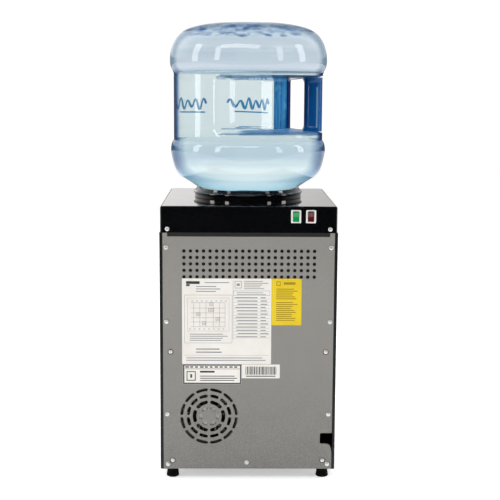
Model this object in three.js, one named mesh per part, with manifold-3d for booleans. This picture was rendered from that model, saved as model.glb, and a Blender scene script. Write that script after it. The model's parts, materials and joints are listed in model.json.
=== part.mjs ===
// Countertop hot and cold water dispenser with an inverted three gallon bottle.
// Millimetres, +Z up. The user stands at -Y and the rear panel faces +Y, so left is -X.
// The origin is on the surface that the feet stand on, under the middle of the object.
import * as THREE from "three";
import { mergeVertices } from "three/addons/utils/BufferGeometryUtils.js";
import Module from "manifold-3d";

const wasm = await Module();
wasm.setup();

// Driving dimensions of the cabinet
const GAP = 0.3; // between neighbouring pieces
const SHEET = 1.2; // steel sheet
const MOULD = 2.5; // moulded plastic wall
const DEPTH = 330;
const FOOT = 17.5; // the feet's height, and the cabinet's lower edge
const SIDE_X = 144.3; // outer face of a side panel
const COVER_X = 143; // outer face of the top cover
const REAR = DEPTH / 2;
const FRONT = -DEPTH / 2;
const TOP = FOOT + 439;
const SEAM = FOOT + 396; // where the cover meets the side panels and the fascia
const BAND = FOOT + 390; // lower edge of the cover's rear band
const BAND_X = 131.5; // half width of the band's lowest strip
const PROUD = 3.8; // rockers at the rear and the tray's lip at the front

// Rear panel
const PANEL_X = 139;
const PANEL_Y = REAR - SHEET; // its inner face
const FLANGE_Y = PANEL_Y - GAP; // rear face of the side panels' folded edges
const FLANGE_X = 120;
const VENT = { columns: 21, rows: 5, pitch: 10.55, radius: 2.8, x: -1, top: FOOT + 366.2 };
const NOTCH = { x: -119.4, low: FOOT + 44.3, high: FOOT + 62.3, corner: 3, heel: FOOT + 31.4 };
const SCREWS = {
  cover: [[131.4, 402]],
  panel: [[133.4, 372], [133.2, 250], [132.7, 94.4], [131.8, 9]],
  bracket: [[126.9, 199.5], [124, 15.4]],
};
const MIDDLE_SCREW = [1.7, 11.8];
const SCREW_BORE = 2.1;
const BRACKET_BORE = 4.6; // the bracket screws sit deep in wider holes

// Fan and the cooling stack in front of it, from the rear forwards
const FAN = { x: 64, z: FOOT + 91, half: 46, bore: 43.5, rear: 161.5, depth: 25 };
const GRILLE_RINGS = [
  { radius: 45, width: 4.9, slots: 12, length: 19.5 },
  { radius: 34.4, width: 5.2, slots: 12, length: 14.1 },
  { radius: 23.8, width: 6.1, slots: 6, length: 21 },
  { radius: 13.7, width: 5.4, slots: 6, length: 10.7 },
];
const SINK_Y = FAN.rear - FAN.depth - GAP; // tips of the heat sink's fins
const SINK_BASE = [102, 108];
const MODULE_Y = [97.9, 101.7];
const BLOCK_Y = [84, 97.6];
const COLD = { x: FAN.x, y: 38, radius: 45.5, low: 52, high: 178 };
const HOT = { x: -72, y: 34, radius: 36, low: 75, high: 185 };

// Alcove, tray and taps
const ALCOVE = { x: 92, floor: 72, top: 320, back: -72, corner: 10 };
const TRAY = { x: 88, front: -163.5, back: -74.5, top: 96 };
const TAP = { x: 42, y: -118, pivotY: -97, pivotZ: 305 };

// Bottle, collar and reservoir, all on the cabinet's middle axis
const BOTTLE = { neck: 28, seat: 89, low: 133.5, waist: 128.5, wide: 135, wall: 1.9 };
const HANDLE = { gapFrom: -96, gapTo: -73, low: FOOT + 558, high: FOOT + 640 };
const NECK_Z = FOOT + 372;
const RESERVOIR = { radius: 60, low: 327, high: 376, stubX: 34, stubY: 10, stubLow: 312 };
const SHELF = { y0: -52, y1: 75, top: 326.7, drop: 16 };

// Switches on the rear band: half sizes of the flange, the body behind it and the rocker's opening
const SWITCH = {
  z: FOOT + 422.7,
  axisY: 164.5,
  tilt: THREE.MathUtils.degToRad(8),
  flange: [8.15, 10.5],
  body: [6.6, 9.2],
  opening: [5.1, 8.4],
  rocker: [4.7, 7.4],
};
const COLD_SWITCH_X = -76;
const HOT_SWITCH_X = -100;

// ---------------------------------------------------------------- solids

function solid(geometry) {
  const bare = geometry.clone();
  bare.deleteAttribute("normal");
  bare.deleteAttribute("uv");
  const merged = mergeVertices(bare, 1e-4);
  const mesh = (index) =>
    new wasm.Manifold(
      new wasm.Mesh({
        numProp: 3,
        vertProperties: merged.attributes.position.array,
        triVerts: new Uint32Array(index),
      }),
    );
  const made = mesh(merged.index.array);
  return made.volume() > 0 ? made : mesh([...merged.index.array].reverse());
}

function geometryOf(body) {
  const mesh = body.getMesh();
  const geometry = new THREE.BufferGeometry();
  geometry.setAttribute("position", new THREE.BufferAttribute(mesh.vertProperties, 3));
  geometry.setIndex(new THREE.BufferAttribute(mesh.triVerts, 1));
  geometry.computeVertexNormals();
  return geometry;
}

const join = (first, ...rest) => rest.reduce((sum, body) => sum.add(body), first);
const cut = (first, ...rest) => rest.reduce((left, body) => left.subtract(body), first);

function box(x0, x1, y0, y1, z0, z1) {
  const geometry = new THREE.BoxGeometry(x1 - x0, y1 - y0, z1 - z0);
  return solid(geometry.translate((x0 + x1) / 2, (y0 + y1) / 2, (z0 + z1) / 2));
}

const extruded = (outline, depth) =>
  new THREE.ExtrudeGeometry(outline, { depth, bevelEnabled: false, curveSegments: 3 });
const XYZ_TO_YZX = new THREE.Matrix4().set(0, 0, 1, 0, 1, 0, 0, 0, 0, 1, 0, 0, 0, 0, 0, 1);

// Outlines drawn in XY, XZ and YZ, extruded along the third axis.
const prismZ = (outline, from, to) =>
  solid(extruded(outline, to - from).translate(0, 0, from));
const prismY = (outline, from, to) =>
  solid(extruded(outline, to - from).translate(0, 0, -to).rotateX(Math.PI / 2));
const prismX = (outline, from, to) =>
  solid(extruded(outline, to - from).translate(0, 0, from).applyMatrix4(XYZ_TO_YZX));

// A box round (x, z) from its half sizes, grown by some clearance, between two depths.
const upright = (x, z, [halfX, halfZ], clearance, from, to) =>
  box(
    x - halfX - clearance, x + halfX + clearance, from, to,
    z - halfZ - clearance, z + halfZ + clearance,
  );

const vectors = (points) => points.map(([a, b]) => new THREE.Vector2(a, b));

// A profile of [radius, height] points, from axis to axis or closed on itself, turned about Z or Y.
function turnedZ(profile, sides, x = 0, y = 0) {
  const geometry = new THREE.LatheGeometry(vectors(profile), sides);
  return solid(geometry.rotateX(Math.PI / 2).translate(x, y, 0));
}

function turnedY(profile, sides, x, z) {
  const geometry = new THREE.LatheGeometry(vectors(profile), sides);
  return solid(geometry.translate(x, 0, z));
}

const rodZ = (radius, low, high, x, y, sides = 16) =>
  turnedZ([[0, low], [radius, low], [radius, high], [0, high]], sides, x, y);

const rodY = (radius, from, to, x, z, sides = 16) =>
  turnedY([[0, from], [radius, from], [radius, to], [0, to]], sides, x, z);

function rodX(radius, from, to, y, z, sides = 12) {
  const geometry = new THREE.CylinderGeometry(radius, radius, to - from, sides);
  return solid(geometry.rotateZ(Math.PI / 2).translate((from + to) / 2, y, z));
}

// Corner radii run round from the low-low corner: low-low, high-low, high-high, low-high.
function roundedRect(a0, a1, b0, b1, radii) {
  const [r0, r1, r2, r3] = Array.isArray(radii) ? radii : [radii, radii, radii, radii];
  const quarter = Math.PI / 2;
  const outline = new THREE.Shape();
  const corner = (a, b, radius, start) => {
    if (radius) outline.absarc(a, b, radius, start, start + quarter);
    else outline.lineTo(a, b);
  };
  outline.moveTo(a0 + r0, b0);
  corner(a1 - r1, b0 + r1, r1, -quarter);
  corner(a1 - r2, b1 - r2, r2, 0);
  corner(a0 + r3, b1 - r3, r3, quarter);
  corner(a0 + r0, b0 + r0, r0, 2 * quarter);
  return outline;
}

function circle(x, y, radius, sides) {
  const angles = Array.from({ length: sides }, (_, i) => (2 * Math.PI * (i + 0.5)) / sides);
  const points = angles.map((t) => [x + radius * Math.cos(t), y + radius * Math.sin(t)]);
  return new THREE.Shape(vectors(points));
}

// A slot bent round a centre, with round ends; the angle is from straight up.
function arcSlot(x, z, { radius, width, length }, angle) {
  const half = (length - width) / 2 / radius;
  const at = (r, t) => [x + r * Math.sin(t), z + r * Math.cos(t)];
  const steps = [-1, 0, 1].map((share) => angle + share * half);
  const outer = steps.map((t) => at(radius + width / 2, t));
  const inner = steps.reverse().map((t) => at(radius - width / 2, t));
  const tip = half + width / 2 / radius;
  return new THREE.Shape(
    vectors([...outer, at(radius, angle + tip), ...inner, at(radius, angle - tip)]),
  );
}

function hose(radius, points) {
  const sides = 8;
  const section = circle(0, 0, radius, sides);
  const path = new THREE.CatmullRomCurve3(points.map((p) => new THREE.Vector3(...p)));
  return solid(new THREE.ExtrudeGeometry(section, { steps: 11, extrudePath: path }));
}

// ---------------------------------------------------------------- materials

const plastic = (color, roughness) =>
  new THREE.MeshStandardMaterial({ color, roughness, metalness: 0 });
const metal = (color, roughness) =>
  new THREE.MeshStandardMaterial({ color, roughness, metalness: 0.9 });
const clear = (color, opacity) =>
  new THREE.MeshStandardMaterial({ color, roughness: 0.1, transparent: true, opacity });

const MATERIAL = {
  greyPaint: metal(0x8e8b86, 0.5),
  blackPaint: metal(0x101213, 0.45),
  glossBlack: plastic(0x0b0d0e, 0.12),
  satinBlack: plastic(0x1a1c1e, 0.5),
  whitePlastic: plastic(0xecebe8, 0.35),
  rubber: plastic(0x141414, 0.85),
  bottleBlue: clear(0x9cc8e6, 0.35),
  capBlue: plastic(0x2f6fb5, 0.4),
  coldBlue: plastic(0x2a6fc4, 0.35),
  hotRed: plastic(0xb3262a, 0.35),
  switchGreen: plastic(0x1f9e59, 0.3),
  switchRed: plastic(0x6a1a1e, 0.3),
  steel: metal(0xb8bbbd, 0.35),
  aluminium: metal(0xc3c6c9, 0.4),
  foam: plastic(0xf0efe9, 0.95),
  ceramic: plastic(0xf4f2ec, 0.6),
  silicone: plastic(0xdfe3e4, 0.5),
  lens: clear(0xcfd6da, 0.6),
  paper: plastic(0xe6e3df, 0.6),
  yellowPaper: plastic(0xebcd2d, 0.6),
};

const dispenser = new THREE.Group();

function piece(name, body, material) {
  const mesh = new THREE.Mesh(geometryOf(body), MATERIAL[material]);
  mesh.name = name;
  dispenser.add(mesh);
}

// ---------------------------------------------------------------- cabinet

// Every rear screw place as [x, z], on both sides.
const bothSides = (places) =>
  places.flatMap(([x, z]) => [[x, FOOT + z], [-x, FOOT + z]]);
const panelScrews = [
  ...bothSides(SCREWS.panel),
  [MIDDLE_SCREW[0], FOOT + MIDDLE_SCREW[1]],
];
const bracketScrews = bothSides(SCREWS.bracket);
const coverScrews = bothSides(SCREWS.cover);
const bores = (places, radius, from, to) =>
  places.map(([x, z]) => rodY(radius, from, to, x, z, 8));

function foot() {
  return turnedZ([[0, 0], [9.6, 0], [10.6, 1.2], [9.4, FOOT - GAP], [0, FOOT - GAP]], 16);
}

function basePan(drain) {
  const x = SIDE_X - SHEET - GAP;
  const front = FRONT + 16.5;
  const rear = FLANGE_Y - SHEET - 0.4;
  const high = FOOT + 22;
  const shell = cut(
    box(-x, x, front, rear, FOOT, high),
    box(-x + SHEET, x - SHEET, front + SHEET, rear - SHEET, FOOT + SHEET, high + 1),
  );
  const intakes = [0, 1, 2, 3, 4].map((i) =>
    box(-35, 35, -118 + 11 * i, -113 + 11 * i, FOOT - 1, FOOT + SHEET + 1),
  );
  const rearBores = bores([...panelScrews, ...bracketScrews], SCREW_BORE, rear - 4, rear + 1);
  return cut(shell, ...intakes, ...rearBores, rodZ(8.3, FOOT - 1, FOOT + 3, drain.x, drain.y));
}

function notchOutline(outerX) {
  const { x, low, high, corner, heel } = NOTCH;
  const outline = new THREE.Shape();
  outline.moveTo(outerX, heel);
  outline.quadraticCurveTo(outerX + 0.5, low, outerX + 8, low);
  outline.lineTo(x - corner, low);
  outline.quadraticCurveTo(x, low, x, low + corner);
  outline.lineTo(x, high - corner);
  outline.quadraticCurveTo(x, high, x - corner, high);
  outline.lineTo(outerX, high);
  return outline;
}

// side is -1 for the left panel and 1 for the right one.
function sidePanel(side) {
  const inner = SIDE_X - SHEET;
  const front = FRONT + 15;
  const section = [
    [SIDE_X, front],
    [SIDE_X, FLANGE_Y - 1],
    [SIDE_X - 1, FLANGE_Y],
    [FLANGE_X, FLANGE_Y],
    [FLANGE_X, FLANGE_Y - SHEET],
    [inner, FLANGE_Y - SHEET],
    [inner, front + SHEET],
    [134, front + SHEET],
    [134, front],
  ].map(([x, y]) => [side * x, y]);
  const sheet = prismZ(new THREE.Shape(vectors(section)), FOOT, SEAM - GAP);
  const places = [...panelScrews, ...bracketScrews];
  const drilled = cut(sheet, ...bores(places, SCREW_BORE, FLANGE_Y - 2, FLANGE_Y + 1));
  if (side > 0) return drilled;
  return cut(drilled, prismY(notchOutline(-PANEL_X - 1), FLANGE_Y - 4, FLANGE_Y + 1));
}

function rearPanel() {
  const low = FOOT + 1;
  const ear = SEAM - GAP;
  const outline = notchOutline(-PANEL_X);
  outline.lineTo(-PANEL_X, ear);
  outline.lineTo(-BAND_X, ear);
  outline.lineTo(-BAND_X, BAND - GAP);
  outline.lineTo(BAND_X, BAND - GAP);
  outline.lineTo(BAND_X, ear);
  outline.lineTo(PANEL_X, ear);
  outline.lineTo(PANEL_X, low);
  outline.lineTo(-PANEL_X, low);
  const holes = [];
  const first = VENT.x - ((VENT.columns - 1) / 2) * VENT.pitch;
  for (let column = 0; column < VENT.columns; column++)
    for (let row = 0; row < VENT.rows; row++) {
      const x = first + column * VENT.pitch;
      holes.push(circle(x, VENT.top - row * VENT.pitch, VENT.radius, 6));
    }
  for (const ring of GRILLE_RINGS)
    for (let i = 0; i < ring.slots; i++) {
      const angle = (2 * Math.PI * (i + 0.5)) / ring.slots;
      holes.push(arcSlot(FAN.x, FAN.z, ring, angle));
    }
  for (const [x, z] of panelScrews) holes.push(circle(x, z, SCREW_BORE, 8));
  for (const [x, z] of bracketScrews) holes.push(circle(x, z, BRACKET_BORE, 8));
  return cut(
    prismY(outline, PANEL_Y, REAR),
    ...holes.map((hole) => prismY(hole, PANEL_Y - 1, REAR + 1)),
  );
}

function topCover() {
  const plan = roundedRect(-COVER_X, COVER_X, FRONT, REAR, [14, 14, 2, 2]);
  const elevation = roundedRect(-COVER_X, COVER_X, BAND, TOP, [0, 0, 3.5, 3.5]);
  const profile = roundedRect(FRONT, REAR, BAND, TOP, [0, 0, 1.5, 12]);
  const block = prismZ(plan, BAND, TOP)
    .intersect(prismY(elevation, FRONT, REAR))
    .intersect(prismX(profile, -COVER_X, COVER_X));
  const hollow = roundedRect(
    -COVER_X + MOULD, COVER_X - MOULD, FRONT + MOULD, REAR - MOULD, [11.5, 11.5, 1, 1],
  );
  const wide = COVER_X + 10;
  const switchHole = (x) => upright(x, SWITCH.z, SWITCH.body, 0.2, REAR - 5, REAR + 1);
  return cut(
    block,
    prismZ(hollow, BAND - 1, TOP - MOULD),
    box(-wide, wide, FRONT - 1, PANEL_Y, BAND - 1, SEAM),
    box(-wide, -BAND_X + GAP, FRONT, REAR + 1, BAND - 1, SEAM),
    box(BAND_X - GAP, wide, FRONT, REAR + 1, BAND - 1, SEAM),
    rodZ(88, TOP - 10, TOP + 1, 0, 0, 32),
    switchHole(COLD_SWITCH_X),
    switchHole(HOT_SWITCH_X),
    box(-28, 28, FRONT - 1, FRONT + 5, 432, 440),
    ...bores(coverScrews, SCREW_BORE, REAR - 5, REAR + 1),
  );
}

function lampLens() {
  return join(
    box(-27.7, 27.7, FRONT - 0.8, FRONT + 3, 432.3, 439.7),
    box(-32, 32, FRONT + MOULD + GAP, FRONT + 4.2, 429, 443),
  );
}

function frontFascia() {
  const wall = 3;
  const back = FRONT + 15 - GAP;
  const high = SEAM - GAP;
  const inside = SIDE_X - wall;
  const { x, floor, top, corner } = ALCOVE;
  return cut(
    prismZ(roundedRect(-SIDE_X, SIDE_X, FRONT, back, [14, 14, 0, 0]), FOOT, high),
    prismZ(
      roundedRect(-inside, inside, FRONT + wall, back + 1, [11, 11, 0, 0]),
      FOOT + wall,
      high - wall,
    ),
    prismY(roundedRect(-x, x, floor, top, [0, 0, corner, corner]), FRONT - 1, back),
  );
}

function alcoveLiner() {
  const { x, floor, top, back, corner } = ALCOVE;
  const front = FRONT + 3 + GAP;
  const tapHole = (side) => rodZ(14.2, top - 1, top + 5, side * TAP.x, TAP.y);
  const shell = join(
    box(-x - MOULD, x + MOULD, front, back + MOULD, floor - MOULD, top + MOULD),
    box(-x - 12, x + 12, front, front + 2, floor - 12, top + 12),
  );
  return cut(
    shell,
    prismY(roundedRect(-x, x, floor, top, [0, 0, corner, corner]), front - 1, back),
    tapHole(-1),
    tapHole(1),
  );
}

function dripTray() {
  const { x, front, back, top } = TRAY;
  const low = ALCOVE.floor + GAP;
  const lipX = ALCOVE.x - 0.6;
  const lip = roundedRect(-lipX, lipX, -REAR - PROUD, front, [4, 4, 0, 0]);
  const floor = low + 2.2;
  return cut(
    join(
      box(-x, x, front - 1, back, low, top),
      prismZ(lip, low, top + 4),
    ),
    box(-x + 6, x - 6, front + 5, back - 5, floor, top),
    box(-x + MOULD, x - MOULD, front + MOULD, back - MOULD, top - 3.4, top + 1),
    box(-30, 30, -REAR - PROUD - 1, front - 3, low - 1, low + 6),
  );
}

function dripGrille() {
  const gap = MOULD + 0.4;
  const x = TRAY.x - gap;
  const y0 = TRAY.front + gap;
  const y1 = TRAY.back - gap;
  const outline = roundedRect(-x, x, y0, y1, 2);
  const holes = [];
  const slots = 13;
  const pitch = 12.4;
  for (let i = 0; i < slots; i++) {
    const middle = (i - (slots - 1) / 2) * pitch;
    holes.push(box(middle - 3, middle + 3, y0 + 8, y1 - 8, TRAY.top - 4, TRAY.top));
  }
  return cut(prismZ(outline, TRAY.top - 3.1, TRAY.top - 0.6), ...holes);
}

// ---------------------------------------------------------------- taps

function tapBody(side) {
  const x = side * TAP.x;
  const { y, pivotY, pivotZ } = TAP;
  const ceiling = ALCOVE.top + MOULD;
  const barrel = turnedZ(
    [
      [0, 290], [5.2, 290], [5.2, 276], [7.6, 276], [8.4, 296], [13.4, 299], [13.4, ceiling + GAP],
      [18, ceiling + GAP], [18, ceiling + 4], [15, ceiling + 6], [15, ceiling + 24],
      [12, ceiling + 27], [0, ceiling + 27],
    ],
    12, x, y,
  );
  const ear = (offset) =>
    box(x + offset - 1.5, x + offset + 1.5, y + 6, pivotY + 4, pivotZ - 5, pivotZ + 8);
  const spigot = rodY(4.5, y + 12, -88, x, 336, 8);
  const bore = rodX(2.2, x - 12, x + 12, pivotY, pivotZ);
  return cut(join(barrel, ear(-9.5), ear(9.5), spigot), bore);
}

function tapPin(side) {
  const x = side * TAP.x;
  return rodX(1.8, x - 11.6, x + 11.6, TAP.pivotY, TAP.pivotZ);
}

const LOCK = { high: 275.5, low: 262.5, halfX: 4.4, travel: 5 };

function tapPaddle(side, window) {
  const x = side * TAP.x;
  const { pivotY: y, pivotZ: z } = TAP;
  const plate = prismY(roundedRect(x - 17, x + 17, 222, 292, [9, 9, 3, 3]), y - 1.5, y + 1.5);
  const cupRest = prismX(
    new THREE.Shape(vectors([[y - 1.4, 222.5], [y - 5, 226], [y - 5, 240], [y - 1.4, 246]])),
    x - 12, x + 12,
  );
  const arm = box(x - 7.4, x + 7.4, y - 1.5, y + 1.5, 291, z);
  const body = cut(
    join(plate, cupRest, arm, rodX(4, x - 7.4, x + 7.4, y, z)),
    rodX(2.2, x - 12, x + 12, y, z),
  );
  if (!window) return body;
  return cut(body, box(x - LOCK.halfX, x + LOCK.halfX, y - 3, y + 3, LOCK.low, LOCK.high));
}

function childLock() {
  const x = TAP.x;
  const y = TAP.pivotY;
  const low = LOCK.low + LOCK.travel + GAP;
  const high = LOCK.high - GAP;
  return join(
    prismY(roundedRect(x - 6.6, x + 6.6, low - 1.5, high + 2, 2), y - 4.6, y - 1.8),
    box(x - LOCK.halfX + GAP, x + LOCK.halfX - GAP, y - 2, y + 2, low, high),
    box(x - 6.6, x + 6.6, y + 1.8, y + 3.4, low - 1.5, high + 1.5),
    box(x - 5, x + 5, y - 6, y - 4.5, high - 3, high - 1.4),
  );
}

// ---------------------------------------------------------------- bottle

// Half outline of the bottle's revolved body, thinner by inset; heights are above the cabinet's foot.
function bottleOutline(inset, floor, divisions) {
  const { neck, seat, low, waist, wide } = BOTTLE;
  const up = (z) => FOOT + z;
  const outline = new THREE.Path();
  outline.moveTo(0, floor);
  outline.lineTo(neck - inset, floor);
  outline.lineTo(neck - inset, up(424) + inset);
  outline.quadraticCurveTo(neck - inset, up(431) + inset, neck + 8, up(434.5) + inset);
  outline.lineTo(seat, up(457.5) + inset);
  outline.lineTo(117 - inset / 2, up(475.5) + inset);
  outline.quadraticCurveTo(130 - inset, up(486), low - inset, up(520));
  outline.quadraticCurveTo(low + 0.3 - inset, up(532), waist - inset, up(538));
  outline.lineTo(waist - inset, up(654));
  outline.quadraticCurveTo(wide - 0.5 - inset, up(660), wide - inset, up(672));
  outline.bezierCurveTo(
    134.5 - inset, up(700), 124 - inset, up(722) - inset, 95 - inset / 2, up(729) - inset,
  );
  outline.quadraticCurveTo(72, up(735.8) - inset, 45, up(736) - inset);
  outline.lineTo(38, up(735) - inset);
  outline.lineTo(0, up(731) - inset);
  return outline.getPoints(divisions).map((p) => [p.x, p.y]);
}

// The scooped wall from the finger gap round to the bottle's side, grown by the wall's thickness.
function scoop(side, grow) {
  const { gapFrom, gapTo } = HANDLE;
  const wall = [
    [58, 122], [20, 101], [-20, 82], [-45, 62], [-66, 32], [gapTo, 10], [gapTo, -1],
  ].map(([x, y]) => [x + grow * 0.75, y - (y > 0 ? grow * 0.7 : 0)]);
  const bar = grow
    ? [[-160, -1]]
    : [[gapFrom, -1], [gapFrom, 9], [-101, 15], [-121, 17], [-160, 18]];
  const rim = [[-160, 160], [58, 160]];
  const outline = [...wall, ...bar, ...rim].map(([x, y]) => [x, side * y]);
  const low = HANDLE.low - grow;
  const high = HANDLE.high + grow;
  return prismZ(new THREE.Shape(vectors(outline)), low, high);
}

function bottle() {
  const sides = 28;
  const outer = turnedZ(bottleOutline(0, NECK_Z, 4), sides);
  const inner = turnedZ(bottleOutline(BOTTLE.wall, NECK_Z - 1, 2), sides);
  const hollow = cut(inner, scoop(1, BOTTLE.wall), scoop(-1, BOTTLE.wall));
  return cut(outer, scoop(1, 0), scoop(-1, 0), hollow);
}

function bottleCap() {
  const low = NECK_Z - 1.7;
  const high = NECK_Z + 20;
  const outer = BOTTLE.neck + 3.3;
  const bore = BOTTLE.neck + 0.4;
  const shelf = NECK_Z - GAP;
  return turnedZ(
    [[11, low], [outer, low], [outer, high], [bore, high], [bore, shelf], [11, shelf], [11, low]],
    20,
  );
}

// Profile heights are above the cover's top face.
function bottleCollar() {
  const profile = [
    [92.8, GAP], [92.8, 7], [94.6, 8.4], [94.4, 10.2], [91.2, 11.4], [89.6, 14.5], [88.4, 17.4],
    [86, 15.8], [84.5, 13.5], [83.5, 2], [60, -16], [38, -24], [34.5, -28], [34.5, -74],
    [12, -74], [12, -76.5], [37, -76.5], [37, -29], [40, -26.8], [61, -18.5], [85.5, -1],
    [85.5, GAP], [92.8, GAP],
  ];
  return turnedZ(profile.map(([r, z]) => [r, TOP + z]), 28);
}

function bottleProbe() {
  const profile = [
    [5.5, -86], [8.5, -86], [8.5, -73.7], [22, -73.7], [22, -71.5], [8.5, -71.5], [8.5, -38],
    [6.5, -32], [0, -29], [0, -34], [5.5, -38], [5.5, -86],
  ];
  const tube = turnedZ(profile.map(([r, z]) => [r, TOP + z]), 12);
  const port = box(-12, 12, -2, 2, TOP - 52, TOP - 41);
  return cut(tube, port);
}

function reservoir() {
  const { radius, low, high, stubX, stubY, stubLow } = RESERVOIR;
  const stub = (side) => rodZ(4.5, stubLow, low + 1, side * stubX, stubY, 8);
  const cup = turnedZ(
    [
      [0, low], [radius, low], [radius, high - 3], [radius + 3, high - 3], [radius + 3, high],
      [radius - MOULD, high], [radius - MOULD, low + MOULD], [0, low + MOULD],
    ],
    24,
  );
  return join(cup, stub(1), stub(-1));
}

function tankShelf() {
  const x = SIDE_X - SHEET - GAP;
  const { y0, y1, top, drop } = SHELF;
  const hole = (side) => rodZ(7.2, top - 3, top + 1, side * RESERVOIR.stubX, RESERVOIR.stubY, 12);
  return cut(
    box(-x, x, y0, y1, top - drop, top),
    box(-x + SHEET, x - SHEET, y0 - 1, y1 + 1, top - drop - 1, top - SHEET),
    hole(1),
    hole(-1),
  );
}

// ---------------------------------------------------------------- cold side

// An open necked can with a second, solid stub beside the neck.
function can({ x, y, radius, low, high }, stubOffset) {
  const wall = 1.5;
  const neck = high + 10;
  const shell = turnedZ(
    [
      [0, low], [radius, low], [radius, high], [4.5, high], [4.5, neck], [3, neck],
      [3, high - wall], [radius - wall, high - wall], [radius - wall, low + wall],
      [0, low + wall],
    ],
    20, x, y,
  );
  return join(shell, rodZ(4.5, high - 1, neck, x + stubOffset, y, 8));
}

function coldTankFoam() {
  const { x, y, radius, low } = COLD;
  const half = 56;
  const block = roundedRect(x - half, x + half, y - half, y + half + 2, 12);
  const floor = FOOT + SHEET + GAP;
  const window = 20.6;
  return cut(
    prismZ(block, floor, 186),
    rodZ(radius + 1, low - 1, 190, x, y, 20),
    box(x - window, x + window, y + 20, y + half + 5, FAN.z - window, FAN.z + window),
  );
}

const plate = (half, [from, to]) =>
  box(FAN.x - half, FAN.x + half, from, to, FAN.z - half, FAN.z + half);

function heatSink() {
  const half = 44;
  const fins = 14;
  const pitch = (2 * half - 1.6) / (fins - 1);
  const fin = (i) => {
    const x = FAN.x - half + i * pitch;
    return box(x, x + 1.6, SINK_BASE[1] - 1, SINK_Y, FAN.z - half, FAN.z + half);
  };
  return join(plate(half, SINK_BASE), ...Array.from({ length: fins }, (_, i) => fin(i)));
}

function fanFrame() {
  const { x, z, half, bore, rear, depth } = FAN;
  const front = rear - depth;
  const corner = half - 5;
  const screwHoles = [[1, 1], [1, -1], [-1, 1], [-1, -1]].map(([a, b]) =>
    rodY(2.2, front - 1, rear + 1, x + a * corner, z + b * corner, 8),
  );
  const square = prismY(roundedRect(x - half, x + half, z - half, z + half, 4), front, rear);
  const ring = cut(square, rodY(bore, front - 1, rear + 1, x, z, 24), ...screwHoles);
  const strut = 2.2;
  const reach = bore + 1;
  return join(
    ring,
    rodY(19, rear - 4, rear, x, z, 20),
    box(x - reach, x + reach, rear - 4, rear - 1, z - strut, z + strut),
    box(x - strut, x + strut, rear - 4, rear - 1, z - reach, z + reach),
  );
}

function fanImpeller() {
  const { x, z, bore, rear, depth } = FAN;
  const from = rear - depth + 3;
  const to = rear - 4.6;
  const middle = (from + to) / 2;
  const blades = 7;
  const blade = (i) => {
    const geometry = new THREE.BoxGeometry(1.8, 19, bore - 18);
    geometry.rotateZ(THREE.MathUtils.degToRad(38));
    geometry.translate(0, middle, (bore + 15) / 2);
    geometry.rotateY((2 * Math.PI * i) / blades).translate(x, 0, z);
    return solid(geometry);
  };
  const hub = turnedY([[0, from], [16, from], [18, from + 2], [18, to], [0, to]], 18, x, z);
  return join(hub, ...Array.from({ length: blades }, (_, i) => blade(i)));
}

// ---------------------------------------------------------------- hot side

function hotTank() {
  const stub = rodZ(4.5, 54.4, HOT.low + 1, HOT.x, HOT.y, 8);
  return join(can(HOT, -20), stub);
}

function heaterBand() {
  const { x, y, radius } = HOT;
  const inner = radius + 0.4;
  const outer = inner + 3;
  const ring = turnedZ([[inner, 95], [outer, 95], [outer, 125], [inner, 125], [inner, 95]], 20, x, y);
  return join(ring, box(x - 6, x + 6, y - outer - 9, y - outer + 1, 102, 118));
}

function hotTankStand() {
  const floor = FOOT + SHEET + GAP;
  const top = HOT.low - GAP;
  return turnedZ(
    [
      [30, floor], [40, floor], [40, floor + 1.5], [32, floor + 1.5], [32, top - 1.5],
      [36, top - 1.5], [36, top], [30, top], [30, floor],
    ],
    16, HOT.x, HOT.y,
  );
}

function hotThermostat() {
  const front = HOT.y - HOT.radius;
  return join(
    rodY(9, front - 10, front - 0.5, HOT.x, 152, 16),
    box(HOT.x - 1, HOT.x + 1, front - 18, front - 9, 146, 158),
  );
}

function drainFitting() {
  const shelf = FOOT + SHEET + GAP;
  return turnedZ(
    [
      [3.5, 8], [8, 8], [8, shelf], [12, shelf], [12, shelf + 3], [6, shelf + 3], [6, 54],
      [3.5, 54], [3.5, 8],
    ],
    12, HOT.x, HOT.y,
  );
}

function drainPlug() {
  const { x, y } = HOT;
  const cap = turnedZ(
    [[0, 5], [13, 5], [13, 16.5], [8.5, 16.5], [8.5, 7.5], [0, 7.5]], 20, x, y,
  );
  return join(cap, box(x - 11, x + 11, y - 2, y + 2, 2.5, 6));
}

// ---------------------------------------------------------------- electrics

function powerSupply() {
  const slot = (i) => box(-116 + 14 * i, -108 + 14 * i, 108, 140, 56.5, 59);
  const shell = cut(box(-128, -28, 98, 150, 22, 58), box(-126.5, -29.5, 99.5, 148.5, 21, 56.5));
  return cut(shell, ...[0, 1, 2, 3, 4, 5].map(slot));
}

function terminalBlock() {
  const well = (i) => rodZ(2.6, 33, 41, -131 + 7 * i, 74, 8);
  return cut(box(-136, -112, 66, 84, 22, 40), well(0), well(1), well(2));
}

function switchBezel(x) {
  const { z, flange, body, opening } = SWITCH;
  const outline = roundedRect(
    x - flange[0], x + flange[0], z - flange[1], z + flange[1], 1.5,
  );
  const blade = (height) => upright(x, z + height, [2.4, 0.4], 0, 139, 148);
  return cut(
    join(
      prismY(outline, REAR + GAP, REAR + 1.9),
      upright(x, z, body, 0, 147, REAR + 1),
      blade(-5),
      blade(5),
    ),
    upright(x, z, opening, 0, 149, REAR + 3),
  );
}

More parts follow.
